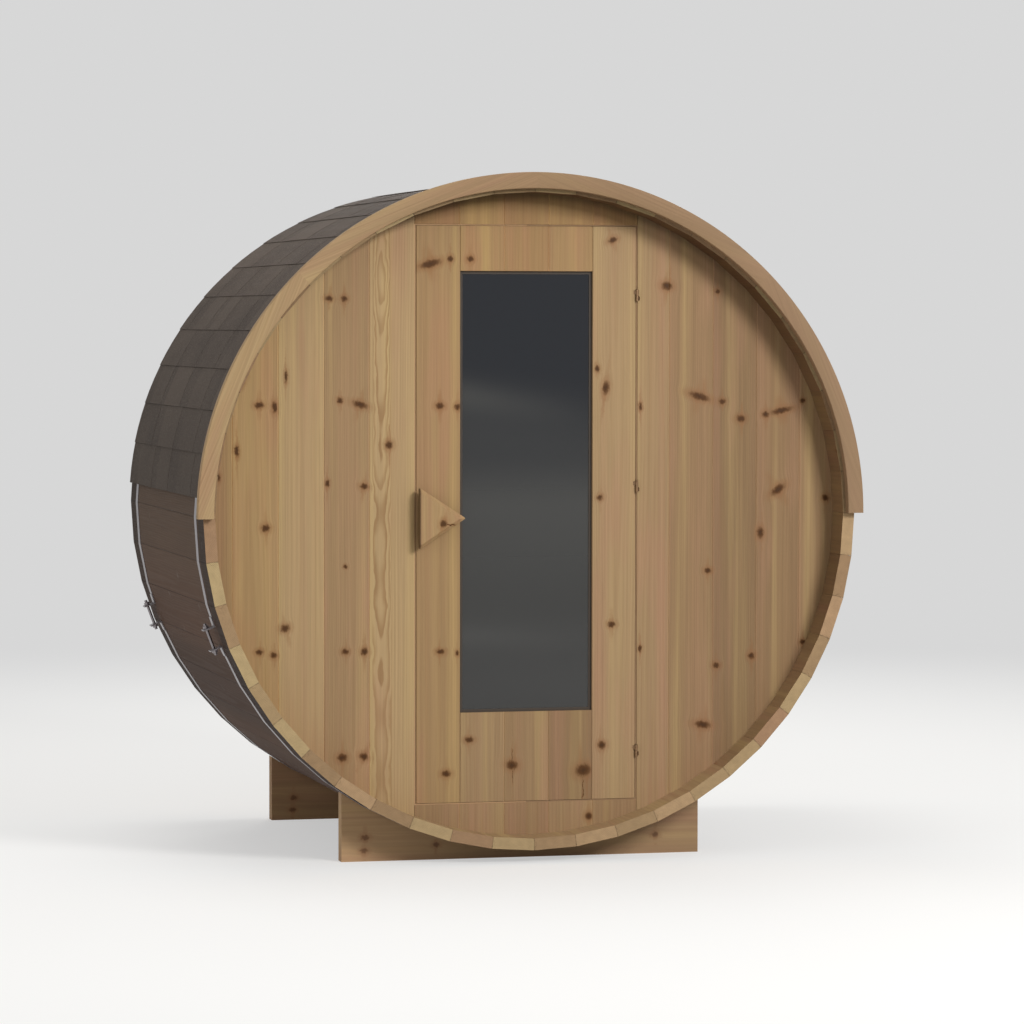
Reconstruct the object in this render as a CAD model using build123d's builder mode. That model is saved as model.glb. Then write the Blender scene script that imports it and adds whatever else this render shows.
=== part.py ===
"""Barrel sauna: a wooden barrel cabin on two cradles, with a boarded front and a glazed door.

Millimetres. +Z is up, the door looks towards -Y, and +X is to the right of someone facing the door.
The origin is on the ground, under the middle of the whole.
"""

from build123d import *
from math import cos, radians, sin, sqrt, tan
import os

os.makedirs("parts", exist_ok=True)

# Driving dimensions: the barrel
barrel_radius = 1075.0          # from the axis to the outer corners of the staves
stave_count = 48
staves_per_group = 4
stave_length = 1470.0
stave_thick = 38.0
ground_gap = 42.0               # from the ground to the lowest stave
joint_gap = 0.6                 # between two boards that are pushed together
bead_radius = 8.0               # bead along one edge of a stave, cut with eight flats
bead_sides = 8
bead_play = 0.4                 # room between a bead and the cove that takes it
croze_depth = 10.0              # groove inside the staves that holds an end wall
seat_gap = 0.3                  # play of a piece in its seat

# Driving dimensions: end walls
wall_thick = 40.0
front_inset = 110.0             # from the front ends of the staves to the front wall
back_inset = 60.0               # from the back ends of the staves to the back wall
board_cover = 148.0             # one board of the walls, edge to edge
ripped_board_width = 108.0      # narrow board on the hinge side of the doorway
board_bevel = 1.2               # small bevel along both front edges of a board
tongue_length = 8.0
tongue_thick = 10.0
tongue_play = 0.5

# Driving dimensions: doorway and door
doorway_width = 740.0
over_door_height = 110.0        # wall above the doorway, at the middle
sill_height = 5.0               # from the floor to the doorway's lower edge
door_gap = 5.2                  # all round the leaf
stop_gap = 5.0                  # between the leaf and the stops behind it
stile_width = 145.0             # board on each side of the glass, as it shows
rail_over_height = 144.5        # boards over the glass, as they show
rail_under_height = 289.5       # boards under the glass, as they show
glass_thick = 8.0
glass_bite = 10.0               # how far the glass reaches into the wood
ledge_thick = 22.0
ledge_height = 100.0
ledge_end_gap = 16.5            # from the ends of the ledges to the stops
ledge_offset = 30.0             # from the glass down to the lower ledge
stop_width = 51.5
stop_thick = 28.0
stop_lap = 12.0                 # how far a stop reaches behind the leaf

# Driving dimensions: handles and hinges
handle_height = 198.0           # before its corners are rounded
handle_reach = 152.0            # from the upright edge to the point
handle_thick = 26.0
handle_stand = 22.0             # spacer between the leaf and the handle
handle_inset = 2.8              # from the leaf's free edge to the handle
handle_drop = 9.5               # from the leaf's middle down to the handle's
handle_corner_radius = 5.0
handle_bevel = 3.0
spacer_place = 0.42             # share of the handle's reach where its spacer stands
spacer_width = 50.0
spacer_height = 76.0
inner_handle_scale = 0.72
inner_handle_inset = 34.0
low_hinge_rise = 155.0          # from the leaf's lower edge to the lowest hinge
middle_hinge_rise = 87.5        # from the leaf's middle to the middle hinge
high_hinge_drop = 222.0         # from the leaf's upper edge to the highest hinge
hinge_radius = 4.5
hinge_half_height = 19.0        # one barrel of a hinge
hinge_stand = 0.7               # between a hinge barrel and the wood behind it
hinge_parting = 0.6             # between the two barrels of a hinge
pin_radius = 2.1
pin_reach = 15.0                # how far a pin goes into each barrel
pin_play = 0.08
tang_width = 12.0               # flat tang that holds a hinge barrel in the wood
tang_thick = 3.0
tang_reach = 36.0
tang_angle = 55.0               # from straight back, towards the wood
tang_play = 0.2

# Driving dimensions: floor and cradles
floor_rise = 98.0               # from the lowest stave's inside to the floor
floor_thick = 28.0
floor_board_count = 5
floor_gap = 8.0
floor_side_gap = 7.0            # from the floor to the staves on either side
floor_end_gap = 4.0
bearer_thick = 45.0
bearer_count = 3
bearer_end = 90.0               # from the walls to the outer bearers
cradle_width = 1194.0
cradle_thick = 48.0
front_cradle_inset = 173.0      # from the front ends of the staves
rear_cradle_inset = 48.0        # from the back ends of the staves

# Driving dimensions: hoops, roof and trim
hoop_thick = 1.5
hoop_width = 40.0
front_hoop_inset = 145.0        # from the front ends of the staves to the hoop's middle
rear_hoop_inset = 140.0         # from the back ends of the staves to the hoop's middle
tension_angle = 20.7            # below the level of the axis
tension_gap = 64.0              # between the ends of a hoop
lug_foot_length = 35.0
lug_foot_thick = 2.0
lug_upright_thick = 4.0
lug_height = 40.0
screw_radius = 5.0
screw_sides = 12
screw_play = 0.75
screw_height = 24.0             # from the staves to the screw
screw_end = 16.0                # how far a screw stands out of its lugs
nut_width = 17.0                # across the flats
nut_thick = 8.0
course_count = 13               # shingle courses on each side
roof_drop_angle = 1.5           # how far the roof hangs below the level of the axis
roof_play = 0.3                 # between the hoops and the shingles
course_top_thick = 1.5
course_butt_thick = 4.5
ridge_half_angle = 4.5
ridge_thick = 3.0
trim_thick = 30.0
trim_proud = 24.0               # from the staves' outside to the trim's outer edge
trim_width = 52.0

# Places that follow from them
half_stave = 180.0 / stave_count
corner_share = cos(radians(half_stave))
flat_radius = barrel_radius * corner_share
inner_flat = flat_radius - stave_thick
axis_height = ground_gap + barrel_radius
front_end = -(stave_length + trim_thick) / 2 + trim_thick
back_end = front_end + stave_length
wall_front = front_end + front_inset
wall_back = wall_front + wall_thick
rear_wall_front = back_end - back_inset - wall_thick
rear_wall_back = back_end - back_inset
wall_flat = inner_flat + croze_depth
wall_reach = wall_flat / corner_share
floor_level = axis_height - inner_flat + floor_rise
doorway_half = doorway_width / 2
doorway_bottom = floor_level + sill_height
doorway_top = axis_height + wall_flat - over_door_height
leaf_half = doorway_half - door_gap
leaf_bottom = doorway_bottom + door_gap
leaf_top = doorway_top - door_gap
leaf_middle = (leaf_bottom + leaf_top) / 2
leaf_back = wall_back - stop_gap
glass_half = leaf_half - stile_width
glass_bottom = leaf_bottom + rail_under_height
glass_top = leaf_top - rail_over_height
handle_level = leaf_middle - handle_drop
hinge_x = doorway_half - door_gap / 2
hinge_y = wall_front - hinge_stand - hinge_radius
hinge_levels = (
    leaf_bottom + low_hinge_rise,
    leaf_middle + middle_hinge_rise,
    leaf_top - high_hinge_drop,
)


def cross_plane(y, z=0.0):
    """Upright plane across the barrel at y, seen from the front; solids grow towards the front."""
    return Plane(origin=(0, y, z), x_dir=(1, 0, 0), z_dir=(0, -1, 0))


def polar(radius, angle):
    """Point at a radius and an angle in degrees, in a plane across the barrel."""
    return (radius * cos(radians(angle)), radius * sin(radians(angle)))


def ring_sector(inner, outer, start, end):
    """Flat piece of a round ring between two angles."""
    with BuildSketch() as sector:
        with BuildLine():
            CenterArc((0, 0), outer, start, end - start)
            CenterArc((0, 0), inner, start, end - start)
            Line(polar(inner, start), polar(outer, start))
            Line(polar(inner, end), polar(outer, end))
        make_face()
    return sector.sketch


def stave_polygon(flat):
    """Polygon with one side for each stave, at a distance from the axis."""
    with BuildSketch() as polygon:
        RegularPolygon(flat, stave_count, major_radius=False)
    return polygon.sketch


def finish(builder, name):
    """Label a finished piece and write its file."""
    builder.part.label = name
    export_step(builder.part, f"parts/{name}.step")


# Staves: flat boards with slanted edges, a bead on one edge and a cove on the other
outer_half = barrel_radius * sin(radians(half_stave))
inner_half = inner_flat * tan(radians(half_stave))
side_play = joint_gap / 2 / corner_share
bead_place = flat_radius - stave_thick / 2
bead_half = bead_place * tan(radians(half_stave))

with BuildSketch() as stave_profile:
    Polygon(
        (flat_radius, -outer_half + side_play),
        (flat_radius, outer_half - side_play),
        (inner_flat, inner_half - side_play),
        (inner_flat, -inner_half + side_play),
        align=None,
    )
    with Locations((bead_place, bead_half)):
        RegularPolygon(bead_radius, bead_sides, rotation=half_stave)
    with Locations((bead_place, -bead_half)):
        cove_radius = bead_radius + bead_play
        RegularPolygon(cove_radius, bead_sides, rotation=-half_stave, mode=Mode.SUBTRACT)

group_count = stave_count // staves_per_group
group_angle = 360.0 / group_count
stave_angle = 360.0 / stave_count


def stave_group(middle_angle):
    """Four staves side by side, with the grooves that hold the end walls."""
    first = middle_angle - group_angle / 2 + stave_angle / 2
    with BuildPart() as group:
        with BuildSketch(cross_plane(back_end, axis_height)):
            with PolarLocations(0, staves_per_group, first, group_angle, endpoint=False):
                add(stave_profile.sketch)
        extrude(amount=stave_length)
        for groove_back in (wall_back + seat_gap, rear_wall_back + seat_gap):
            with BuildSketch(cross_plane(groove_back, axis_height)):
                add(stave_polygon(wall_flat + seat_gap))
            extrude(amount=wall_thick + 2 * seat_gap, mode=Mode.SUBTRACT)
    return group


group_names = {
    0: "staves_right",
    1: "staves_right_shoulder",
    2: "staves_top_right",
    3: "staves_top",
    4: "staves_top_left",
    5: "staves_left_shoulder",
    6: "staves_left",
    7: "staves_lower_left",
    8: "staves_bottom_left",
    9: "staves_bottom",
    10: "staves_bottom_right",
    11: "staves_lower_right",
}
for number, group_name in group_names.items():
    finish(stave_group(number * group_angle), group_name)


# End walls: upright tongued and grooved boards, cut at their ends to fit the groove in the staves
def board_outline(left, right, face, inward, depth, groove, tongue):
    """Plan of one board: bevels at its face, a groove on the left and a tongue on the right."""
    x0 = left + joint_gap / 2
    x1 = right - joint_gap / 2
    back = face + inward * depth
    middle = face + inward * depth / 2
    shoulder = face + inward * board_bevel
    points = [(x0, back), (x1, back)]
    if tongue:
        half = inward * tongue_thick / 2
        points += [(x1, middle + half), (x1 + tongue_length, middle + half)]
        points += [(x1 + tongue_length, middle - half), (x1, middle - half)]
    points += [(x1, shoulder), (x1 - board_bevel, face)]
    points += [(x0 + board_bevel, face), (x0, shoulder)]
    if groove:
        half = inward * (tongue_thick / 2 + tongue_play)
        bottom = x0 + tongue_length + tongue_play
        points += [(x0, middle - half), (bottom, middle - half)]
        points += [(bottom, middle + half), (x0, middle + half)]
    return points


def edges_between(start, end, step):
    """Board edges from start to end, a full board at a time, the last one cut to what is left."""
    edges = [start]
    while abs(end - edges[-1]) > abs(step) * 1.3:
        edges.append(edges[-1] + step)
    return edges + [end]


def board_wall(edges, face, inward, depth, bottom, top, plain_left=True, plain_right=True):
    """Boards between the edges, from the left to the right, within the rim of an end wall."""
    count = len(edges) - 1
    with BuildPart() as wall:
        with BuildSketch(Plane.XY.offset(bottom)):
            for place in range(count):
                has_groove = place > 0 or not plain_left
                has_tongue = place < count - 1 or not plain_right
                sides = edges[place : place + 2]
                outline = board_outline(*sides, face, inward, depth, has_groove, has_tongue)
                Polygon(*outline, align=None)
        extrude(amount=top - bottom)
        with BuildSketch(cross_plane(max(face, face + inward * depth), axis_height)):
            add(stave_polygon(wall_flat))
        extrude(amount=depth, mode=Mode.INTERSECT)
    return wall.part


def tang_plane(level, side):
    """Plane across a hinge tang at its barrel; side is 1 towards the wall and -1 towards the door."""
    drop = (hinge_half_height + hinge_parting) / 2
    return Plane(
        origin=(hinge_x, hinge_y, level - side * drop),
        x_dir=(0, 0, 1),
        z_dir=(side * sin(radians(tang_angle)), cos(radians(tang_angle)), 0),
    )


def tang_slots(side):
    """Slots for the tangs of the three hinges, on one side of the gap."""
    with BuildPart() as slots:
        for level in hinge_levels:
            with BuildSketch(tang_plane(level, side)):
                Rectangle(tang_width + 2 * tang_play, tang_thick + 2 * tang_play)
            extrude(amount=tang_reach + seat_gap)
    return slots.part


wall_foot = axis_height - wall_reach
wall_head = axis_height + wall_reach
left_edges = edges_between(-doorway_half, -wall_reach, -board_cover)[::-1]
right_edges = [doorway_half]
right_edges += edges_between(doorway_half + ripped_board_width, wall_reach, board_cover)
short_board_count = round(doorway_width / board_cover)
short_edges = [
    -doorway_half + place * doorway_width / short_board_count
    for place in range(short_board_count + 1)
]

with BuildPart() as front_wall_left:
    add(board_wall(left_edges, wall_front, 1, wall_thick, wall_foot, wall_head))
finish(front_wall_left, "front_wall_left")

with BuildPart() as front_wall_right:
    add(board_wall(right_edges, wall_front, 1, wall_thick, wall_foot, wall_head))
    add(tang_slots(1), mode=Mode.SUBTRACT)
finish(front_wall_right, "front_wall_right")

with BuildPart() as front_wall_over_door:
    add(board_wall(short_edges, wall_front, 1, wall_thick, doorway_top, wall_head))
finish(front_wall_over_door, "front_wall_over_door")

with BuildPart() as front_wall_under_door:
    add(board_wall(short_edges, wall_front, 1, wall_thick, wall_foot, doorway_bottom))
finish(front_wall_under_door, "front_wall_under_door")

rear_middle = board_cover * 2.5
rear_middle_edges = edges_between(-rear_middle, rear_middle, board_cover)
rear_right_edges = edges_between(rear_middle, wall_reach, board_cover)
rear_left_edges = [-edge for edge in rear_right_edges][::-1]
rear_groups = (
    ("back_wall_left", rear_left_edges, True, False),
    ("back_wall_middle", rear_middle_edges, False, False),
    ("back_wall_right", rear_right_edges, False, True),
)
for wall_name, rear_edges, plain_left, plain_right in rear_groups:
    with BuildPart() as back_wall:
        add(
            board_wall(
                rear_edges, rear_wall_back, -1, wall_thick, wall_foot, wall_head,
                plain_left, plain_right,
            )
        )
    finish(back_wall, wall_name)


# Door stops: laths on the inside of the front wall that the leaf closes against
stop_edge = leaf_half - stop_lap
stop_top = leaf_top - stop_lap
stop_bottom = leaf_bottom + stop_lap
stop_outside = stop_edge + stop_width

with BuildPart() as door_stops:
    with BuildSketch(cross_plane(wall_back + stop_thick)):
        for side in (-1, 1):
            with Locations((side * (stop_edge + stop_width / 2), axis_height)):
                Rectangle(stop_width, 2 * inner_flat)
        with Locations((0, stop_top + stop_width / 2), (0, stop_bottom - stop_width / 2)):
            Rectangle(2 * (stop_edge - joint_gap), stop_width)
    extrude(amount=stop_thick)
    with BuildSketch(cross_plane(wall_back + stop_thick, axis_height)):
        add(stave_polygon(inner_flat - seat_gap))
    extrude(amount=stop_thick, mode=Mode.INTERSECT)
    with BuildSketch(cross_plane(wall_back + stop_thick)):
        with Locations((0, leaf_middle)):
            Rectangle(2 * stop_outside, stop_top - stop_bottom + 2 * stop_width)
    extrude(amount=stop_thick, mode=Mode.INTERSECT)
finish(door_stops, "door_stops")


# Door: upright boards round the glass, ledges behind, handles and hinges
leaf_depth = leaf_back - wall_front
glass_width = 2 * glass_half
glass_height = glass_top - glass_bottom
pane_front = (wall_front + leaf_back - glass_thick) / 2
pane_middle = (glass_bottom + glass_top) / 2


def pane_pocket():
    """The grooves round the glass, as one slab."""
    with BuildPart() as pocket:
        with BuildSketch(cross_plane(pane_front + glass_thick + seat_gap, pane_middle)):
            reach = 2 * (glass_bite + seat_gap)
            Rectangle(glass_width + reach, glass_height + reach)
        extrude(amount=glass_thick + 2 * seat_gap)
    return pocket.part


for stile_name, stile_edges, hinge_side in (
    ("door_stile_left", (-leaf_half, -glass_half), False),
    ("door_stile_right", (glass_half, leaf_half), True),
):
    with BuildPart() as stile:
        add(board_wall(stile_edges, wall_front, 1, leaf_depth, leaf_bottom, leaf_top))
        add(pane_pocket(), mode=Mode.SUBTRACT)
        if hinge_side:
            add(tang_slots(-1), mode=Mode.SUBTRACT)
    finish(stile, stile_name)

glass_board_count = round(glass_width / board_cover)
glass_edges = [
    -glass_half + place * glass_width / glass_board_count for place in range(glass_board_count + 1)
]
for boards_name, low, high in (
    ("door_boards_over_glass", glass_top, leaf_top),
    ("door_boards_under_glass", leaf_bottom, glass_bottom),
):
    with BuildPart() as short_boards:
        add(board_wall(glass_edges, wall_front, 1, leaf_depth, low, high))
        add(pane_pocket(), mode=Mode.SUBTRACT)
    finish(short_boards, boards_name)

with BuildPart() as door_glass:
    with BuildSketch(cross_plane(pane_front + glass_thick, pane_middle)):
        Rectangle(glass_width + 2 * glass_bite, glass_height + 2 * glass_bite)
    extrude(amount=glass_thick)
finish(door_glass, "door_glass")

with BuildPart() as door_ledges:
    with BuildSketch(cross_plane(leaf_back + ledge_thick)):
        upper = (glass_top + stop_top) / 2
        lower = glass_bottom - ledge_offset - ledge_height / 2
        with Locations((0, upper), (0, lower)):
            Rectangle(2 * (stop_edge - ledge_end_gap), ledge_height)
    extrude(amount=ledge_thick)
    chamfer(door_ledges.faces().sort_by(Axis.Y)[-2:].edges(), board_bevel)
finish(door_ledges, "door_ledges")


def handle(left, face, outward, scale):
    """Three-cornered wooden handle with its point to the right, on a spacer; outward is -1 or 1."""
    reach = handle_reach * scale
    half = handle_height * scale / 2
    with BuildPart() as pull:
        with BuildSketch(cross_plane(face, handle_level)):
            with Locations((left + reach * spacer_place, 0)):
                Rectangle(spacer_width * scale, spacer_height * scale)
        extrude(amount=-outward * handle_stand)
        with BuildSketch(cross_plane(face + outward * handle_stand, handle_level)) as plate:
            Polygon((left, -half), (left + reach, 0), (left, half), align=None)
            fillet(plate.vertices(), handle_corner_radius)
        extrude(amount=-outward * handle_thick)
        plate_face = pull.faces().filter_by(Axis.Y).sort_by(Axis.Y)[0 if outward < 0 else -1]
        chamfer(plate_face.edges(), handle_bevel)
    return pull.part


with BuildPart() as door_handle_outer:
    add(handle(-leaf_half + handle_inset, wall_front, -1, 1.0))
finish(door_handle_outer, "door_handle_outer")

with BuildPart() as door_handle_inner:
    add(handle(-leaf_half + inner_handle_inset, leaf_back, 1, inner_handle_scale))
finish(door_handle_inner, "door_handle_inner")


def hinge_barrels(side):
    """The barrels of the three hinges on one side of the gap, each with its tang in the wood."""
    foot = -hinge_half_height - hinge_parting / 2 if side > 0 else hinge_parting / 2
    with BuildPart() as barrels:
        for level in hinge_levels:
            barrel_plane = Plane(origin=(hinge_x, hinge_y, level + foot), z_dir=(0, 0, 1))
            with BuildSketch(barrel_plane):
                Circle(hinge_radius)
            extrude(amount=hinge_half_height)
            with BuildSketch(tang_plane(level, side)):
                Rectangle(tang_width, tang_thick)
            extrude(amount=tang_reach)
            with BuildSketch(barrel_plane):
                Circle(pin_radius + pin_play)
            extrude(amount=hinge_half_height, mode=Mode.SUBTRACT)
    return barrels.part


with BuildPart() as hinge_barrels_wall:
    add(hinge_barrels(1))
finish(hinge_barrels_wall, "hinge_barrels_wall")

with BuildPart() as hinge_barrels_door:
    add(hinge_barrels(-1))
finish(hinge_barrels_door, "hinge_barrels_door")

with BuildPart() as hinge_pins:
    for level in hinge_levels:
        with BuildSketch(Plane(origin=(hinge_x, hinge_y, level - pin_reach), z_dir=(0, 0, 1))):
            Circle(pin_radius)
        extrude(amount=2 * pin_reach)
finish(hinge_pins, "hinge_pins")


# Floor: boards from front to back, on bearers cut to fit the inside of the barrel
floor_front = wall_back + stop_thick + floor_end_gap
floor_back = rear_wall_front - floor_end_gap
bearer_top = floor_level - floor_thick
floor_half = sqrt(inner_flat**2 - (axis_height - bearer_top) ** 2) - floor_side_gap
floor_step = (2 * floor_half + floor_gap) / floor_board_count

with BuildPart() as floor_boards:
    with BuildSketch(Plane.XY.offset(bearer_top)):
        with Locations((0, (floor_front + floor_back) / 2)):
            with GridLocations(floor_step, 0, floor_board_count, 1):
                Rectangle(floor_step - floor_gap, floor_back - floor_front)
    extrude(amount=floor_thick)
    chamfer(floor_boards.faces().sort_by(Axis.Z)[-floor_board_count:].edges(), board_bevel)
finish(floor_boards, "floor_boards")

bearer_first = wall_back + bearer_end + bearer_thick
bearer_last = rear_wall_front - bearer_end
bearer_step = (bearer_last - bearer_first) / (bearer_count - 1)

with BuildPart() as floor_bearers:
    for place in range(bearer_count):
        with BuildSketch(cross_plane(bearer_first + place * bearer_step, axis_height)):
            add(stave_polygon(inner_flat - seat_gap))
            with Locations((0, bearer_top - axis_height)):
                below_floor = (Align.CENTER, Align.MAX)
                Rectangle(2 * floor_half, inner_flat, align=below_floor, mode=Mode.INTERSECT)
        extrude(amount=bearer_thick)
finish(floor_bearers, "floor_bearers")


# Cradles: upright planks with a round seat for the barrel
for cradle_name, cradle_back in (
    ("cradle_front", front_end + front_cradle_inset + cradle_thick),
    ("cradle_rear", back_end - rear_cradle_inset),
):
    with BuildPart() as cradle:
        with BuildSketch(cross_plane(cradle_back)):
            Rectangle(cradle_width, axis_height, align=(Align.CENTER, Align.MIN))
            with Locations((0, axis_height)):
                Circle(barrel_radius + seat_gap, mode=Mode.SUBTRACT)
        extrude(amount=cradle_thick)
    finish(cradle, cradle_name)


# Hoops: flat steel bands under the roof, drawn together by a screw low on the left side
hoop_flat = flat_radius + seat_gap
hoop_outer_flat = hoop_flat + hoop_thick
tension_middle = 180.0 + tension_angle
half_gap_angle = tension_gap / 2 / radians(1) / barrel_radius
foot_angle = lug_foot_length / radians(1) / barrel_radius
upright_angle = lug_upright_thick / radians(1) / barrel_radius
lug_base = hoop_outer_flat + seat_gap
nut_top = barrel_radius + screw_height + nut_width / 2
nut_start = nut_top * sin(radians(half_gap_angle + upright_angle)) + seat_gap
screw_reach = nut_start + screw_end


def wedge(start, end):
    """Narrow three-cornered face from the axis to beyond the barrel, between two angles."""
    with BuildSketch() as face:
        far = 2 * barrel_radius
        Polygon((0, 0), polar(far, start), polar(far, end), align=None)
    return face.sketch


def band_piece(inner, outer, start, end):
    """Short piece of a band that follows the flats of the staves, between two angles."""
    with BuildSketch() as piece:
        add(stave_polygon(outer))
        add(stave_polygon(inner), mode=Mode.SUBTRACT)
        add(wedge(start, end), mode=Mode.INTERSECT)
    return piece.sketch


with BuildSketch() as hoop_profile:
    add(stave_polygon(hoop_outer_flat))
    add(stave_polygon(hoop_flat), mode=Mode.SUBTRACT)
    add(wedge(tension_middle - half_gap_angle, tension_middle + half_gap_angle), mode=Mode.SUBTRACT)

lug_profiles = []
for turn in (-1, 1):
    lug_end = tension_middle + turn * half_gap_angle
    foot = sorted((lug_end, lug_end + turn * foot_angle))
    upright = sorted((lug_end, lug_end + turn * upright_angle))
    lug_profiles.append(band_piece(lug_base, lug_base + lug_foot_thick, *foot))
    lug_profiles.append(band_piece(lug_base, flat_radius + lug_height, *upright))


def tension_plane(hoop_middle):
    """Plane across the tension screw of a hoop, at the middle of the gap."""
    x, z = polar(barrel_radius + screw_height, tension_middle)
    along_x, along_z = polar(1, tension_middle + 90)
    place = (x, hoop_middle, axis_height + z)
    return Plane(origin=place, x_dir=(0, 1, 0), z_dir=(along_x, 0, along_z))


for place_name, hoop_middle in (
    ("front", front_end + front_hoop_inset),
    ("rear", back_end - rear_hoop_inset),
):
    hoop_back = hoop_middle + hoop_width / 2
    with BuildPart() as hoop:
        with BuildSketch(cross_plane(hoop_back, axis_height)):
            add(hoop_profile.sketch)
        extrude(amount=hoop_width)
    finish(hoop, f"hoop_{place_name}")

    with BuildPart() as hoop_lugs:
        with BuildSketch(cross_plane(hoop_back, axis_height)):
            for lug_profile in lug_profiles:
                add(lug_profile)
        extrude(amount=hoop_width)
        with BuildSketch(tension_plane(hoop_middle)):
            RegularPolygon(screw_radius + screw_play, screw_sides)
        extrude(amount=screw_reach, both=True, mode=Mode.SUBTRACT)
    finish(hoop_lugs, f"hoop_lugs_{place_name}")

    with BuildPart() as tension_screw:
        with BuildSketch(tension_plane(hoop_middle)):
            RegularPolygon(screw_radius, screw_sides)
        extrude(amount=screw_reach, both=True)
        for turn in (-1, 1):
            with BuildSketch(tension_plane(hoop_middle).offset(turn * nut_start)):
                RegularPolygon(nut_width / 2, 6, major_radius=False)
            extrude(amount=turn * nut_thick)
    finish(tension_screw, f"tension_screw_{place_name}")


# Roof: bent shingle courses over the upper half, each lying on the one below it
roof_flat = hoop_outer_flat + roof_play
roof_corner = roof_flat / corner_share
course_angle = (90.0 + roof_drop_angle) / course_count


def course_side():
    """Stepped section of the courses on the right side, from the lower edge to the top."""
    top = roof_corner + course_top_thick
    butt = roof_corner + course_butt_thick
    with BuildSketch() as section:
        with BuildLine():
            Line((0, 0), polar(butt, -roof_drop_angle))
            for course in range(course_count):
                low = -roof_drop_angle + course * course_angle
                high = low + course_angle
                middle = polar((butt + top) / 2, (low + high) / 2)
                ThreePointArc(polar(butt, low), middle, polar(top, high))
                if course < course_count - 1:
                    Line(polar(top, high), polar(butt, high))
            Line(polar(top, 90), (0, 0))
        make_face()
        add(stave_polygon(roof_flat), mode=Mode.SUBTRACT)
    return section.sketch


courses_right = course_side()
with BuildPart() as roof_right:
    with BuildSketch(cross_plane(back_end, axis_height)):
        add(courses_right)
    extrude(amount=stave_length)
finish(roof_right, "roof_right")

with BuildPart() as roof_left:
    with BuildSketch(cross_plane(back_end, axis_height)):
        add(courses_right)
        mirror(about=Plane.YZ, mode=Mode.REPLACE)
    extrude(amount=stave_length)
finish(roof_left, "roof_left")

ridge_share = ridge_half_angle / course_angle
course_taper = course_butt_thick - course_top_thick
ridge_inner = roof_corner + course_top_thick + course_taper * ridge_share + seat_gap
with BuildPart() as roof_ridge:
    with BuildSketch(cross_plane(back_end, axis_height)):
        ridge_span = (90 - ridge_half_angle, 90 + ridge_half_angle)
        add(ring_sector(ridge_inner, ridge_inner + ridge_thick, *ridge_span))
    extrude(amount=stave_length)
finish(roof_ridge, "roof_ridge")


# Trim: curved board on the front ends of the staves, over the upper half
trim_outer = barrel_radius + trim_proud
with BuildPart() as front_trim:
    with BuildSketch(cross_plane(front_end, axis_height)):
        add(ring_sector(trim_outer - trim_width, trim_outer, 0, 180))
    extrude(amount=trim_thick)
finish(front_trim, "front_trim")
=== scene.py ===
"""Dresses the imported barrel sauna: knotty boards, dark staves, shingles, steel, glass and a studio."""

import random
from math import cos, pi, radians, sin, sqrt

import bpy
from mathutils import Matrix, Vector


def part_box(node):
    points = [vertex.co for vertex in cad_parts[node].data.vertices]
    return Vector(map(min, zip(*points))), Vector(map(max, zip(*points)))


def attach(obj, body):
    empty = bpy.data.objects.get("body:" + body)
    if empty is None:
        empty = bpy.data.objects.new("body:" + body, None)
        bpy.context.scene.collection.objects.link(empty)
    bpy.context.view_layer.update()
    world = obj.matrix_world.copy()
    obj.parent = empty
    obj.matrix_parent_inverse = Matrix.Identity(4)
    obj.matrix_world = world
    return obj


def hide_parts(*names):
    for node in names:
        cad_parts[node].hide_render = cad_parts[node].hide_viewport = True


bl_info = {
    "name": "Barrel sauna",
    "version": (1, 0, 0),
    "blender": (4, 5, 0),
    "location": "3D View > Sidebar > Sauna",
    "description": "Dresses the packed barrel sauna and sets it in a studio",
    "category": "Object",
}

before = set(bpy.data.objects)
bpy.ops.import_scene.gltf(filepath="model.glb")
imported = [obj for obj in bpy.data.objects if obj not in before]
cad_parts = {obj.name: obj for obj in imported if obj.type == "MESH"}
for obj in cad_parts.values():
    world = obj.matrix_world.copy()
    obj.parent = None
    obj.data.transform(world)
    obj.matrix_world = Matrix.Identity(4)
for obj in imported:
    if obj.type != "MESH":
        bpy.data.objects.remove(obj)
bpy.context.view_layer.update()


def tone(red, green, blue):
    """A colour as it is read off a screen, 0 to 255, in Blender's linear values."""
    shares = (value / 255 for value in (red, green, blue))
    return [share / 12.92 if share <= 0.04045 else ((share + 0.055) / 1.055) ** 2.4 for share in shares]


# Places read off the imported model, in metres
stave_low, stave_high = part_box("staves_right")
AXIS = (stave_low.z + stave_high.z) / 2
FRONT = stave_low.y
BACK = stave_high.y
MIDDLE = (FRONT + BACK) / 2
HALF_LENGTH = (BACK - FRONT) / 2
STAVE_ANGLE = 2 * pi / 48
CORNER = stave_high.x
FLAT = CORNER * cos(STAVE_ANGLE / 2)
STAVE_WIDTH = 2 * FLAT * sin(STAVE_ANGLE / 2)
WALL_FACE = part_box("front_wall_left")[0].y
DOORWAY_HALF = -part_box("front_wall_left")[1].x
DOORWAY_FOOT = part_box("front_wall_under_door")[1].z
DOORWAY_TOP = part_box("front_wall_over_door")[0].z
GLASS_LOW, GLASS_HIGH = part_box("door_glass")
PANE_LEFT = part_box("door_stile_left")[1].x
PANE_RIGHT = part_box("door_stile_right")[0].x
PANE_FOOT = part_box("door_boards_under_glass")[1].z
PANE_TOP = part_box("door_boards_over_glass")[0].z

# Start and width of the only board of a piece that is one board, wider than any piece
ONE_BOARD = (-2, 4)
# Field in which chance may put one knot, across and along the board, the least half width of such a
# knot, and how much more it may be
KNOT_FIELD = (0.16, 0.44)
KNOT_LEAST = 0.006
KNOT_SPREAD = 0.009
# How far the grain bends round a knot, how soon that fades, and how far a knot's outline wobbles
GRAIN_BEND = 0.0105
BEND_FADE = 0.32
KNOT_WOBBLE = 0.013
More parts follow.
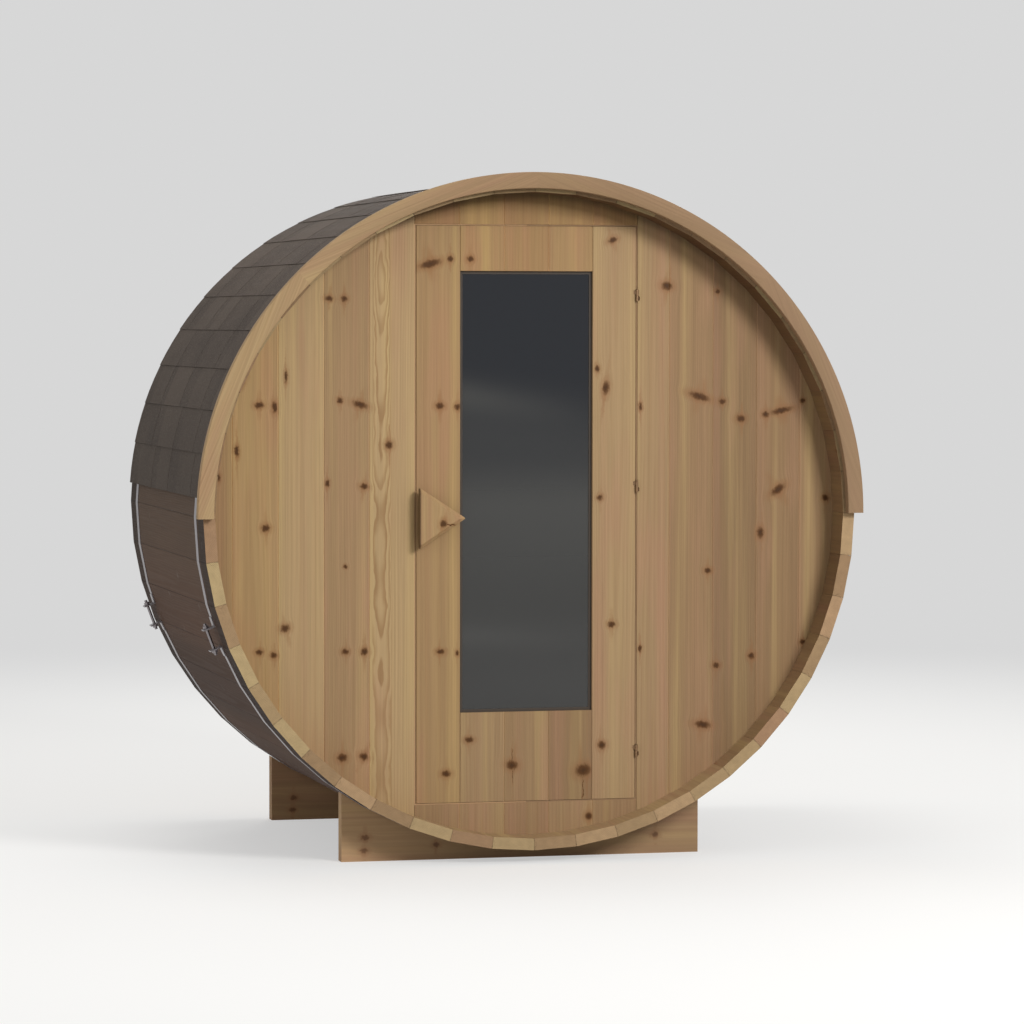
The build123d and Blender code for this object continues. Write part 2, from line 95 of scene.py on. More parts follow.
# Height and strength of the grain's relief, and gloss of planed wood
GRAIN_HEIGHT = 0.00035
GRAIN_STRENGTH = 0.55
WOOD_GLOSS = 0.16
# Distances from the ends of the staves at which their outside starts to darken, and is dark
DARK_RIM = (0.124, 0.100)
# What the honey tone takes from red, green and blue: some boards have it as their own tone, and over the door
# it is painted warm light that the wood throws back into the shade under the trim
HONEY = (1.0, 0.93, 0.78)
# Tints of the light that the wood throws back inside the front of the barrel, low and high up
BOUNCE_LOW = tone(246, 226, 212)
BOUNCE_HIGH = tone(236, 198, 172)
WHITE = (1, 1, 1, 1)

# Knots of the front, as the boards show them: x, z, half width, half height and tilt in degrees
LEFT_KNOTS = (
    (-0.649, 1.812, 0.013, 0.009, 10), (-0.600, 1.812, 0.011, 0.010, 0), (-0.931, 1.555, 0.011, 0.024, 20),
    (-0.876, 1.473, 0.015, 0.010, 0), (-0.826, 1.466, 0.009, 0.018, 0), (-0.789, 1.564, 0.006, 0.019, 0),
    (-0.614, 1.487, 0.010, 0.009, 0), (-0.548, 1.474, 0.025, 0.011, 18), (-0.454, 1.345, 0.013, 0.013, 0),
    (-0.655, 1.223, 0.007, 0.012, 0), (-0.535, 1.212, 0.014, 0.010, 10), (-0.855, 1.082, 0.014, 0.012, 0),
    (-0.596, 0.957, 0.006, 0.006, 0), (-0.793, 0.762, 0.015, 0.012, -15), (-0.876, 0.687, 0.012, 0.009, 0),
    (-0.830, 0.676, 0.011, 0.010, 0), (-0.597, 0.684, 0.013, 0.009, 0), (-0.534, 0.683, 0.012, 0.012, 0),
    (-0.607, 0.344, 0.016, 0.013, 0), (-0.537, 0.346, 0.015, 0.012, 25), (-0.948, 1.327, 0.008, 0.018, 0),
    (-1.009, 1.245, 0.008, 0.013, 0),
)
RIGHT_KNOTS = (
    (0.469, 1.856, 0.018, 0.014, 10), (0.640, 1.838, 0.009, 0.008, 0), (0.580, 1.497, 0.036, 0.012, 17),
    (0.657, 1.480, 0.011, 0.010, 0), (0.722, 1.424, 0.015, 0.012, 0), (0.806, 1.438, 0.013, 0.010, 0),
    (0.860, 1.450, 0.038, 0.010, -12), (0.932, 1.482, 0.008, 0.008, 0), (0.848, 1.191, 0.028, 0.013, -35),
    (1.012, 1.163, 0.012, 0.012, 0), (0.789, 1.051, 0.012, 0.018, 0), (0.611, 0.929, 0.013, 0.009, 0),
    (0.760, 0.648, 0.012, 0.012, 0), (0.640, 0.618, 0.012, 0.010, 0), (0.594, 0.425, 0.027, 0.012, 8),
    (0.381, 1.465, 0.006, 0.013, 0), (0.381, 0.678, 0.006, 0.012, 0), (0.936, 0.690, 0.010, 0.008, 0),
)
STILE_LEFT_KNOTS = (
    (-0.319, 1.924, 0.036, 0.012, -14), (-0.253, 1.940, 0.009, 0.011, 0), (-0.287, 1.469, 0.014, 0.011, 0),
    (-0.229, 1.466, 0.010, 0.010, 0), (-0.285, 0.678, 0.014, 0.009, 0), (-0.229, 0.674, 0.007, 0.009, 0),
    (-0.266, 0.284, 0.015, 0.011, 0),
)
STILE_RIGHT_KNOTS = (
    (0.286, 2.003, 0.016, 0.009, -20), (0.235, 1.588, 0.008, 0.012, 0), (0.264, 1.526, 0.011, 0.023, 8),
    (0.245, 1.171, 0.010, 0.010, 0), (0.285, 0.758, 0.013, 0.010, 0), (0.253, 0.365, 0.013, 0.013, 0),
)
OVER_GLASS_KNOTS = ((-0.187, 1.940, 0.011, 0.010, 0),)
UNDER_GLASS_KNOTS = (
    (-0.190, 0.392, 0.015, 0.009, 0), (-0.047, 0.307, 0.019, 0.015, 8), (0.191, 0.285, 0.027, 0.020, -10),
    (0.190, 0.226, 0.0018, 0.038, 0), (-0.047, 0.330, 0.0016, 0.030, 0), (-0.046, 0.272, 0.0014, 0.022, 0),
)
CRADLE_KNOTS = (
    (-0.519, 0.077, 0.014, 0.009, 0), (-0.523, 0.035, 0.013, 0.009, 0), (-0.285, 0.048, 0.012, 0.008, 0),
    (0.452, 0.061, 0.012, 0.009, 0),
)
HANDLE_KNOTS = ((-0.286, 1.092, 0.011, 0.013, 20), (-0.262, 1.089, 0.020, 0.0022, 3))


# Settings that a user may change
def colour_field(name, description, *screen):
    """A colour, given by its values on a screen."""
    return bpy.props.FloatVectorProperty(
        name=name, description=description, default=tone(*screen), min=0, max=1, subtype="COLOR",
    )


def length_field(name, description, default, least=0.0):
    """A length in metres."""
    return bpy.props.FloatProperty(
        name=name, description=description, default=default, min=least, unit="LENGTH",
    )


def share_field(name, description, default):
    """A number from 0 to 1."""
    return bpy.props.FloatProperty(
        name=name, description=description, default=default, min=0, max=1, subtype="FACTOR",
    )


def power_field(name, description, default):
    """The power of a lamp."""
    return bpy.props.FloatProperty(name=name, description=description, default=default, min=0, unit="POWER")


class SaunaWood(bpy.types.PropertyGroup):
    """Colours and grain of the wood."""

    pale: colour_field("Pale boards", "Colour of the palest boards", 186, 158, 117)
    deep: colour_field("Deep boards", "Colour of the deepest boards", 147, 118, 86)
    warm: colour_field("Heartwood", "Redder colour that some boards lean to", 172, 132, 104)
    late: colour_field("Latewood", "Colour of the dark part of a growth ring", 134, 96, 58)
    straw: colour_field("Sapwood", "Yellower colour that runs in bands through the boards", 190, 165, 112)
    knot: colour_field("Knots", "Colour inside the knots", 83, 49, 16)
    halo: colour_field("Knot halo", "Colour of the resin round a knot", 138, 96, 62)
    bent: colour_field("Trim", "Colour of the board over the stave ends", 146, 119, 92)
    stain: colour_field("Stained staves", "Colour of the weathered outside of the staves", 92, 69, 54)
    stain_red: colour_field("Reddish stain", "Redder colour that some staves lean to", 92, 68, 58)
    # The staves' paler colour just under the roof is painted light of the sky
    stain_sky_lit: colour_field("Skylit stain", "Colour of the staves just under the roof", 99, 83, 69)
    end_pale: colour_field("Pale stave ends", "Colour of the palest stave ends", 184, 160, 118)
    end_deep: colour_field("Deep stave ends", "Colour of the deepest stave ends", 154, 125, 93)
    ring_spacing: length_field("Ring spacing", "From one growth ring to the next", 0.0072, 0.001)
    board_cover: length_field("Board cover", "One board of the walls, edge to edge", 0.148, 0.05)
    ripped_width: length_field("Ripped board", "Narrow board on the hinge side of the doorway", 0.108, 0.02)


class SaunaRoof(bpy.types.PropertyGroup):
    """Sizes and colours of the shingles."""

    courses: bpy.props.IntProperty(
        name="Courses", description="Shingle courses on each side", default=11, min=3,
    )
    edge_angle: bpy.props.FloatProperty(
        name="Lower edge", description="How far above the level of the axis the roof ends",
        default=radians(3.3), subtype="ANGLE",
    )
    exposure: bpy.props.FloatProperty(
        name="Course", description="What shows of one course", default=radians(7.5), min=radians(2),
        subtype="ANGLE",
    )
    deck_gap: length_field("Deck gap", "From the corners of the staves to the lowest sheet", 0.0010)
    sheet_thick: length_field("Sheet thickness", "One layer of a shingle", 0.0010, 0.0005)
    tab_least: length_field("Narrowest tab", "Width of the narrowest raised tab", 0.16, 0.02)
    tab_most: length_field("Widest tab", "Width of the widest raised tab", 0.34, 0.03)
    gap_least: length_field("Narrowest gap", "Least distance between two raised tabs", 0.07, 0.005)
    gap_most: length_field("Widest gap", "Largest distance between two raised tabs", 0.20, 0.01)
    cap_length: length_field("Ridge cap", "What shows of one ridge cap", 0.147, 0.05)
    granules: colour_field("Granules", "Colour of the mineral granules", 88, 77, 68)
    shade: colour_field("Dark granules", "Colour of the darker granules and shadow lines", 56, 47, 41)
    spark: colour_field("Pale granules", "Colour of the few pale granules", 124, 114, 102)


class SaunaFittings(bpy.types.PropertyGroup):
    """Sizes and colours of the handles, the glass, the seals and the steel."""

    handle_height: length_field("Handle height", "Upright edge of the outer handle", 0.198)
    handle_reach: length_field("Handle reach", "From the upright edge to the point", 0.152)
    handle_thick: length_field("Handle thickness", "Thickness of the handle's board", 0.026)
    handle_corner: length_field("Corner rounding", "Rounding of the handle's corners", 0.005)
    handle_chamfer: length_field("Chamfer", "Chamfer along the handle's two slanting edges", 0.011)
    inner_scale: share_field("Inner handle", "Size of the inner handle against the outer one", 0.72)
    spacer_place: share_field("Spacer place", "Share of the handle's reach where its spacer stands", 0.42)
    spacer_width: length_field("Spacer width", "Width of the outer handle's spacer", 0.050)
    spacer_height: length_field("Spacer height", "Height of the outer handle's spacer", 0.076)
    draught_strip: length_field("Draught strip", "Width of the strip round the door", 0.004, 0.001)
    gasket: length_field("Gasket", "Width of the dark seal round the glass", 0.010)
    # The glass's colours near its top and its bottom are painted reflection
    glass_reflection_top: colour_field("Upper glass", "Colour of the glass near its top", 28, 32, 40)
    glass_reflection_foot: colour_field("Lower glass", "Colour of the glass near its bottom", 79, 79, 77)
    seal_dark: colour_field("Dark seal", "Darker colour of the seal round the glass", 46, 37, 28)
    seal_pale: colour_field("Pale seal", "Paler colour of the seal round the glass", 64, 51, 37)
    strip_dark: colour_field("Dark strip", "Darker colour of the draught strip", 138, 108, 78)
    strip_pale: colour_field("Pale strip", "Paler colour of the draught strip", 164, 132, 98)
    steel: colour_field("Galvanised steel", "Colour of the hoops and screws", 166, 160, 164)
    steel_dull: colour_field("Dull steel", "Colour of the duller patches of all steel", 120, 112, 104)
    bronze: colour_field("Hinges", "Colour of the browned hinges", 158, 124, 90)


class SaunaStudio(bpy.types.PropertyGroup):
    """Camera and light."""

    lens: bpy.props.FloatProperty(
        name="Lens", description="Focal length in millimetres", default=151.3, min=1, unit="CAMERA",
    )
    camera_place: bpy.props.FloatVectorProperty(
        name="Camera", description="Where the camera stands", default=(-3.3868, -14.0661, 1.7365),
        subtype="TRANSLATION", unit="LENGTH",
    )
    camera_turn: bpy.props.FloatVectorProperty(
        name="Camera turn", description="How the camera is turned",
        default=(radians(87.479), radians(-0.066), radians(-13.931)), subtype="EULER",
    )
    floor_tone: colour_field("Floor", "Colour of the studio floor", 188, 187, 184)
    sky: share_field("Sky light", "Strength of the even light from all round", 0.42)
    backdrop: share_field("Backdrop", "How bright the background looks, where 1 is white", 0.68)
    key_power: power_field("Key light", "Power of the large lamp at the right", 632)
    fill_power: power_field("Fill light", "Power of the soft lamp at the left", 80)
    rear_power: power_field("Rear light", "Power of the soft lamp behind", 260)
    top_power: power_field("Top light", "Power of the lamp over the roof", 100)


# Materials
def by_node(operation):
    """An operator between values that adds a Math node."""
    return lambda self, other: self.math(operation, other)


class Wire:
    """One value in a finish, which can be used in sums."""

    def __init__(self, finish, socket):
        self.finish = finish
        self.socket = socket

    def math(self, operation, *others):
        """A Math node on this value and others."""
        return self.finish.node("ShaderNodeMath", {"operation": operation}, dict(enumerate((self, *others))))

    __add__ = __radd__ = by_node("ADD")
    __sub__ = by_node("SUBTRACT")
    __mul__ = __rmul__ = by_node("MULTIPLY")
    __truediv__ = by_node("DIVIDE")
    __gt__ = by_node("GREATER_THAN")
    __lt__ = by_node("LESS_THAN")

    def __rsub__(self, other):
        return self * -1 + other

    def __abs__(self):
        return self.math("ABSOLUTE")

    def ease(self, low, high):
        """0 below low, 1 above high, and a smooth slope between; low may be the larger of the two."""
        values = {"Value": self, "From Min": low, "From Max": high}
        return self.finish.node("ShaderNodeMapRange", {"interpolation_type": "SMOOTHSTEP"}, values)

    def counted(self):
        """The whole number below this value, and where the value lies beyond it, from -0.5 to 0.5."""
        number = self.math("FLOOR")
        return number, self - number - 0.5

    def output(self, place):
        """Another output of the node that gave this value."""
        return Wire(self.finish, self.socket.node.outputs[place])

    def parts(self):
        """The three numbers of a vector or colour."""
        first = self.finish.node("ShaderNodeSeparateXYZ", {}, {0: self})
        return first, first.output(1), first.output(2)


class Finish:
    """A material or world that is built from nodes."""

    def __init__(self, owner):
        self.owner = owner
        owner.use_nodes = True
        self.tree = owner.node_tree
        self.tree.nodes.clear()

    def node(self, kind, settings=None, values=None, output=0):
        """Add a node: first its settings, then the values or links of its inputs."""
        made = self.tree.nodes.new(kind)
        for name, value in (settings or {}).items():
            setattr(made, name, value)
        for name, value in (values or {}).items():
            if isinstance(value, Wire):
                self.tree.links.new(value.socket, made.inputs[name])
            else:
                made.inputs[name].default_value = value
        return Wire(self, made.outputs[output]) if len(made.outputs) else made

    def vector(self, x, y, z):
        """Three numbers as one vector."""
        return self.node("ShaderNodeCombineXYZ", {}, {0: x, 1: y, 2: z})

    def vectors(self, operation, *values, output=0):
        """A Vector Math node on one or more vectors."""
        return self.node("ShaderNodeVectorMath", {"operation": operation}, dict(enumerate(values)), output)

    def place(self, vector, scale, shift=(0, 0, 0)):
        """A vector times a scale on each axis, and shifted."""
        return self.vectors("MULTIPLY_ADD", vector, scale, shift)

    def noise(self, vector, scale=None, detail=2.0, shift=(0, 0, 0), roughness=0.5):
        """Soft noise from 0 to 1; scale says how many waves a metre has along each axis."""
        if scale:
            vector = self.place(vector, scale, shift)
        values = {"Vector": vector, "Scale": 1.0, "Detail": detail, "Roughness": roughness}
        return self.node("ShaderNodeTexNoise", {}, values)

    def flakes(self, vector, scale):
        """A chance number for each small cell."""
        return self.node("ShaderNodeTexVoronoi", {}, {"Vector": vector, "Scale": scale}, "Color").parts()[0]

    def lot(self, number, seed=0.0):
        """Three chance numbers that belong to a whole number."""
        values = {"W": number + (seed + 0.5)}
        return self.node("ShaderNodeTexWhiteNoise", {"noise_dimensions": "1D"}, values, "Color")

    def blend(self, share, first, second, mode="MIX"):
        """One colour into another by a share."""
        settings = {"data_type": "RGBA", "blend_type": mode}
        colours = [value if isinstance(value, Wire) else (*value[:3], 1.0) for value in (first, second)]
        return self.node("ShaderNodeMix", settings, {0: share, 6: colours[0], 7: colours[1]}, 2)

    def dim(self, colour, share):
        """A colour made lighter or darker."""
        return self.node("ShaderNodeVectorMath", {"operation": "SCALE"}, {0: colour, "Scale": share})

    def position(self):
        """Object coordinates, whole and as x, y and z."""
        whole = self.node("ShaderNodeTexCoord", output="Object")
        return (whole, *whole.parts())

    def bump(self, height, distance, strength):
        """A normal from a height."""
        return self.node("ShaderNodeBump", {}, {"Height": height, "Distance": distance, "Strength": strength})

    def surface(self, values):
        """Principled shader with these values, linked to the output."""
        shader = self.node("ShaderNodeBsdfPrincipled", {}, values)
        self.node("ShaderNodeOutputMaterial", {}, {"Surface": shader})

    def rays(self):
        """1 where the camera looks straight, and 1 where it looks so, in a reflection or through glass."""
        camera = self.node("ShaderNodeLightPath", output="Is Camera Ray")
        glossy = camera.math("MAXIMUM", camera.output("Is Glossy Ray"))
        return camera, glossy.math("MAXIMUM", camera.output("Is Transmission Ray"))


def new_finish(name):
    """A finish in a new material."""
    return Finish(bpy.data.materials.new(name))


def dress(piece, finish):
    """Give a piece, or the CAD node of this name, one finish."""
    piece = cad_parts[piece] if isinstance(piece, str) else piece
    piece.data.materials.clear()
    piece.data.materials.append(finish.owner)


def length_of(first, second):
    """The length of a line with these two sides."""
    return (first * first + second * second).math("SQRT")


def stepped(x, edges, values):
    """A value for each board between edges, going up in x."""
    total = values[0]
    for edge, before, after in zip(edges, values, values[1:]):
        if after != before:
            total = total + (x > edge) * (after - before)
    return total


def knot_parts(nearest, sideways, lengthways):
    """What wood_look needs of a knot: its distance and place, in knot sizes, and its push on the grain."""
    push = sideways * GRAIN_BEND * (nearest * nearest * -BEND_FADE).math("EXPONENT")
    return nearest, sideways, lengthways, push


def placed_knots(finish, whole, knots):
    """The nearest of the listed knots, whose outlines wobble a little."""
    rough = finish.noise(whole, (110, 110, 75)).output("Color")
    wobble = finish.place(rough, (KNOT_WOBBLE,) * 3, (-KNOT_WOBBLE / 2,) * 3)
    whole = finish.vectors("ADD", whole, wobble)
    nearest = None
    for x, z, wide, high, tilt in knots:
        knot = {"Location": (x, 0, z), "Rotation": (0, radians(tilt), 0), "Scale": (wide, 1000, high)}
        local = finish.node("ShaderNodeMapping", {"vector_type": "TEXTURE"}, {"Vector": whole, **knot})
        reach = finish.vectors("LENGTH", local, output="Value")
        if nearest is None:
            nearest, offset = reach, local
        else:
            closer = {0: reach < nearest, 4: offset, 5: local}
            offset = finish.node("ShaderNodeMix", {"data_type": "VECTOR"}, closer, 1)
            nearest = nearest.math("MINIMUM", reach)
    sideways, _, lengthways = offset.parts()
    return knot_parts(nearest, sideways, lengthways)


def scattered_knots(finish, across, along, number, share):
    """The nearest knot where chance puts them, one field after the other, differently on each board.

    share is how many of the fields have a knot; in the others it has next to no size.
    """
    wide, long = KNOT_FIELD
    field = finish.vector(across / wide + number * 7.31, along / long + number * 3.77, 0)
    cells = finish.node("ShaderNodeTexVoronoi", {"voronoi_dimensions": "2D"}, {"Vector": field, "Scale": 1.0})
    apart = finish.vectors("SUBTRACT", field, cells.output("Position"))
    first, second, _ = cells.output("Color").parts()
    size = (first * KNOT_SPREAD + KNOT_LEAST) * (second < share) + 0.0002
    sideways, lengthways, _ = apart.parts()
    sideways = sideways * wide / size
    lengthways = lengthways * long / size
    return knot_parts(length_of(sideways, lengthways), sideways, lengthways)


def any_knots(finish, whole, across, along, number, knots):
    """The nearest of the listed knots, or of chance knots if a share is given and no list."""
    if isinstance(knots, float):
        return scattered_knots(finish, across, along, number, knots)
    return placed_knots(finish, whole, knots)


def wood_look(finish, across, deep, along, lot, share, knots, pith=None, flame=0.0):
    """Colour, roughness and height of planed softwood; share runs from deep to pale boards.

    pith is where the heart of the tree lies across the board, and flame, from 0 to 1, how plainly the
    growth rings stand in arches.
    """
    wood = bpy.context.scene.sauna_wood
    first, second, third = lot.parts()
    near, sideways, lengthways, push = knots
    across = across - push
    here = finish.vector(across, deep, along)
    shift = finish.place(lot, (31, 47, 23))
    if pith is None:
        pith = (first - 0.5) * 0.09

    # Growth rings: circles round a pith that sways, and that runs aslant where they stand in arches
    sway = finish.noise(here, (6, 6, 0.9), 1.0, shift)
    shake = finish.noise(here, (38, 38, 13), 2.0, shift)
    swell = finish.noise(finish.vector(0, first * 9, along * 2.3), detail=1.0)
    side = across - pith + (sway - 0.5) * (0.034 - flame * 0.012) + (shake - 0.5) * flame * 0.020
    slope = (third - 0.5) * 0.022 * (1 - flame) - flame * 0.022
    under = deep + (second * 0.05 + 0.014) * (1 - flame) + flame * (swell * 0.072 + 0.028) + along * slope
    rings = length_of(side, under) / wood.ring_spacing
    turn = rings.math("FRACT")
    late = turn.ease(0.25, 0.82) * (1 - turn.ease(0.88, 1.0))
    year = finish.noise(finish.vector(rings.math("FLOOR") * 0.61, first * 40, 0), detail=0.0)

    # Fibres, streaks, sapwood bands and clouds of heartwood, all long in the direction of the board
    fibre = finish.noise(here, (520, 520, 7), 2.0, shift)
    streak = finish.noise(here, (150, 150, 1.3), 2.0, shift)
    bands = finish.noise(here, (19, 19, 0.35), 2.0, shift)
    cloud = finish.noise(here, (13, 13, 1.9), 2.0, shift)
    colour = finish.blend(share, wood.deep, wood.pale)
    colour = finish.blend(bands.ease(0.48, 0.74) * 0.36, colour, wood.straw)
    colour = finish.blend(bands.ease(0.50, 0.28) * (third * 0.3 + 0.25), colour, wood.warm)
    colour = finish.blend(cloud.ease(0.50, 0.76) * 0.5, colour, wood.warm)
    colour = finish.blend(late * (year * 0.9 + 0.1) * (flame * 0.62 + 0.22), colour, wood.late)
    below = share.math("MINIMUM", 0.0) if isinstance(share, Wire) else min(share, 0.0)
    colour = finish.dim(colour, streak * 0.32 + fibre * 0.22 + bands * 0.16 + below + 0.62)

    # Knots: a tail of resin along the board, a halo and a dark core with rings of its own
    tail = ((sideways * sideways * 3) + (lengthways * lengthways * 0.05)).math("SQRT")
    colour = finish.blend((1 - tail.ease(0.5, 1.5)) * streak.ease(0.3, 0.6) * 0.42, colour, wood.halo)
    colour = finish.blend((1 - near.ease(0.7, 2.5)) * 0.50, colour, wood.halo)
    core = 1 - near.ease(0.50, 1.30)
    heart = near.ease(0.9, 0.2) * -0.40 + (near * 9 + sway * 8).math("SINE") * 0.10 + 1.0
    colour = finish.blend(core * 0.92, colour, finish.dim(finish.vector(*wood.knot), heart))
    rough = 0.62 - late * 0.06 + fibre * 0.10 - core * 0.12
    height = fibre * 0.5 + late * 0.55 + core * 0.6
    return colour, rough, height


def plain_wood(finish, colour, rough, height):
    """Finish a wooden surface."""
    finish.surface({
        "Base Color": colour,
        "Roughness": rough,
        "Normal": finish.bump(height, GRAIN_HEIGHT, GRAIN_STRENGTH),
        "Specular IOR Level": WOOD_GLOSS,
    })


def board_finish(name, edges, shares, piths, knots, seed, arches=None, honeys=None):
    """Upright boards side by side, whose edges go up in x; knots is as in any_knots.

    arches are the two sides of the strip in which the growth rings stand in arches, and honeys says
    how far each board leans to the honey tone.
    """
    finish = new_finish(name)
    whole, x, y, z = finish.position()
    number = stepped(x, edges, range(len(edges) + 1)) + x * 0
    found = any_knots(finish, whole, x, z, number + seed, knots)
    lot = finish.lot(number, seed)
    flame = x.ease(arches[0], arches[0] + 0.008) * x.ease(arches[1], arches[1] - 0.012) if arches else 0.0
    share = stepped(x, edges, shares)
    pith = stepped(x, edges, piths)
    colour, rough, height = wood_look(finish, x, y - WALL_FACE, z, lot, share, found, pith, flame)
    # The eased edges at the joints catch the light
    if edges:
        seam = abs(x - edges[0])
        for edge in edges[1:]:
            seam = seam.math("MINIMUM", abs(x - edge))
        colour = finish.dim(colour, 1.45 - seam.ease(0.0006, 0.0028) * 0.45)
    # Painted shade makes the wall dark right under the trim and over the door, and painted light turns it a
    # little paler up to there
    painted_trim_shade = length_of(x, z - AXIS).ease(1.004, 1.032) * z.ease(1.70, 2.05)
    shade = 1 - painted_trim_shade * 0.45 + z.ease(1.0, 1.9) * 0.03 - z.ease(2.02, 2.10) * 0.14
    colour = finish.dim(colour, shade)
    if honeys:
        colour = finish.blend(stepped(x, edges, honeys), colour, HONEY, "MULTIPLY")
    plain_wood(finish, colour, rough, height)
    return finish


def long_finish(name, axes, seed, share=0.5, boards=ONE_BOARD, knots=0.3, painted_shade_side=None, red=0.0,
                honey=0.0):
    """Boards that lie along one axis: axes names the directions across, through and along the boards.

    boards says where the first board starts across, and how wide one is, and knots is as in any_knots.
    The side given for painted shade is its x and how far the painted shade reaches in from it. red and honey
    say how far the wood leans to those tones, and where red is given, painted light also makes the wood
    paler at the left and darker towards the right.
    """
    finish = new_finish(name)
    whole, *parts = finish.position()
    across, deep, along = (parts["xyz".index(axis)] for axis in axes)
    start, cover = boards
    number, turn = ((across - start) / cover).counted()
    across = turn * cover
    found = any_knots(finish, whole, across, along, number + seed, knots)
    lot = finish.lot(number, seed)
    tint = lot.parts()[1] * 0.5 + (share - 0.25)
    colour, rough, height = wood_look(finish, across, deep, along, lot, tint, found)
    # Painted shade on one side, darkest at its edge and fading over the given reach
    if painted_shade_side:
        inward = parts[0] - painted_shade_side[0]
        colour = finish.dim(colour, inward.ease(0.0, painted_shade_side[1]) * 0.6 + 0.4)
    if red:
        colour = finish.blend(red, colour, bpy.context.scene.sauna_wood.warm)
        # Painted light: paler at the left end and darker towards the right
        colour = finish.dim(colour, 1.09 - along * 0.36)
    if honey:
        colour = finish.blend(honey, colour, HONEY, "MULTIPLY")
    plain_wood(finish, colour, rough, height)
    return finish


# Modelling
def alone(piece):
    """Select one piece and nothing else."""
    if bpy.context.object and bpy.context.object.mode != "OBJECT":
        bpy.ops.object.mode_set(mode="OBJECT")
    bpy.ops.object.select_all(action="DESELECT")
    piece.select_set(True)
    bpy.context.view_layer.objects.active = piece


def primitive(add, name, location=(0, 0, 0), scale=(1, 1, 1), rotation=(0, 0, 0), **settings):
    """Add a primitive with nothing else selected, and keep its size and place in its mesh."""
    bpy.ops.object.select_all(action="DESELECT")
    add(location=location, rotation=rotation, **settings)
    piece = bpy.context.object
    piece.name = name
    piece.data.name = name
    piece.scale = scale
    bpy.ops.object.transform_apply(location=True, rotation=True, scale=True)
    return piece


def edit(piece, faces=None, edges=None):
    """Open a piece for editing with the faces or edges selected that pass a test, or with all of it.

    The test of faces is given a face's centre, and the test of edges the two ends of an edge.
    """
    alone(piece)
    bpy.ops.object.mode_set(mode="EDIT")
    bpy.ops.mesh.select_mode(type="EDGE" if edges else "FACE")
    bpy.ops.mesh.select_all(action="DESELECT" if faces or edges else "SELECT")
    bpy.ops.object.mode_set(mode="OBJECT")
    if faces:
        for face in piece.data.polygons:
            face.select = faces(face.center)
    if edges:
        for edge in piece.data.edges:
            edge.select = edges(*(piece.data.vertices[number].co for number in edge.vertices))
    bpy.ops.object.mode_set(mode="EDIT")


def extrude(move):
    """Extrude what is selected along a vector."""
    bpy.ops.mesh.extrude_region_move(TRANSFORM_OT_translate={"value": move})


def bevelled(piece, edges, width, segments):
    """Bevel the edges that pass a test."""
    edit(piece, edges=edges)
    bpy.ops.mesh.bevel(offset=width, segments=segments, profile=0.5, affect="EDGES")
    bpy.ops.object.mode_set(mode="OBJECT")


def outward(piece):
    """Close doubled points, turn all faces outwards and leave edit mode."""
    edit(piece)
    bpy.ops.mesh.remove_doubles(threshold=0.00001)
    bpy.ops.mesh.normals_make_consistent(inside=False)
    bpy.ops.object.mode_set(mode="OBJECT")


def levels(node):
    """Lowest and highest level of each part of a CAD node whose parts stand well above each other."""
    least_gap = 0.2
    heights = sorted(point.co.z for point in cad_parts[node].data.vertices)
    groups = [[heights[0]]]
    for height in heights[1:]:
        if height - groups[-1][-1] > least_gap:
            groups.append([])
        groups[-1].append(height)
    return [(group[0], group[-1]) for group in groups]


def copied(piece, matrix, shade):
    """A copy of a piece with its own mesh, moved in its mesh, and with its shade as an attribute."""
    twin = piece.copy()
    twin.data = piece.data.copy()
    twin.data.transform(matrix)
    bpy.context.scene.collection.objects.link(twin)
    layer = twin.data.attributes.new("shade", "FLOAT", "POINT")
    layer.data.foreach_set("value", [shade] * len(twin.data.vertices))
    return twin


def joined(pieces, name):
    """Many pieces as one."""
    alone(pieces[0])
    for piece in pieces[1:]:
        piece.select_set(True)
    bpy.ops.object.join()
    whole = bpy.context.object
    whole.name = name
    whole.data.name = name
    return whole


def about_axis(angle):
    """A turn about the barrel's axis; positive goes from the right side up to the top."""
    centre = Matrix.Translation((0, 0, AXIS))
    return centre @ Matrix.Rotation(-angle, 4, "Y") @ centre.inverted()


def swept(name, low, high, radius, length, start, span, steps, lean=0.0):
    """Sheet from one height over a radius to another, swept up about the barrel's axis from an angle.

    lean is how far below the axis the centre of the sweep lies, so that the sheet sinks on its way.
    """
    middle = (radius + (low + high) / 2, length / 2, AXIS)
    piece = primitive(bpy.ops.mesh.primitive_plane_add, name, middle, (high - low, length, 1), size=1)
    edit(piece)
    bpy.ops.mesh.spin(steps=steps, angle=span, center=(0, 0, AXIS - lean), axis=(0, 1, 0))
    bpy.ops.mesh.select_all(action="SELECT")
    bpy.ops.mesh.fill_holes(sides=4)
    outward(piece)
    piece.data.transform(about_axis(start))
    return piece


def flat_frame(name, left, foot, right, top, y, width):
    """Upright frame without depth inside four lines, left open for editing with all of it selected."""
    middle = ((left + right) / 2, y, (foot + top) / 2)
    size = (right - left, top - foot, 1)
    piece = primitive(bpy.ops.mesh.primitive_plane_add, name, middle, size, (pi / 2, 0, 0), size=1)
    edit(piece)
    bpy.ops.mesh.inset(thickness=width, depth=0)
    bpy.ops.mesh.delete(type="FACE")
    bpy.ops.mesh.select_all(action="SELECT")
    return piece


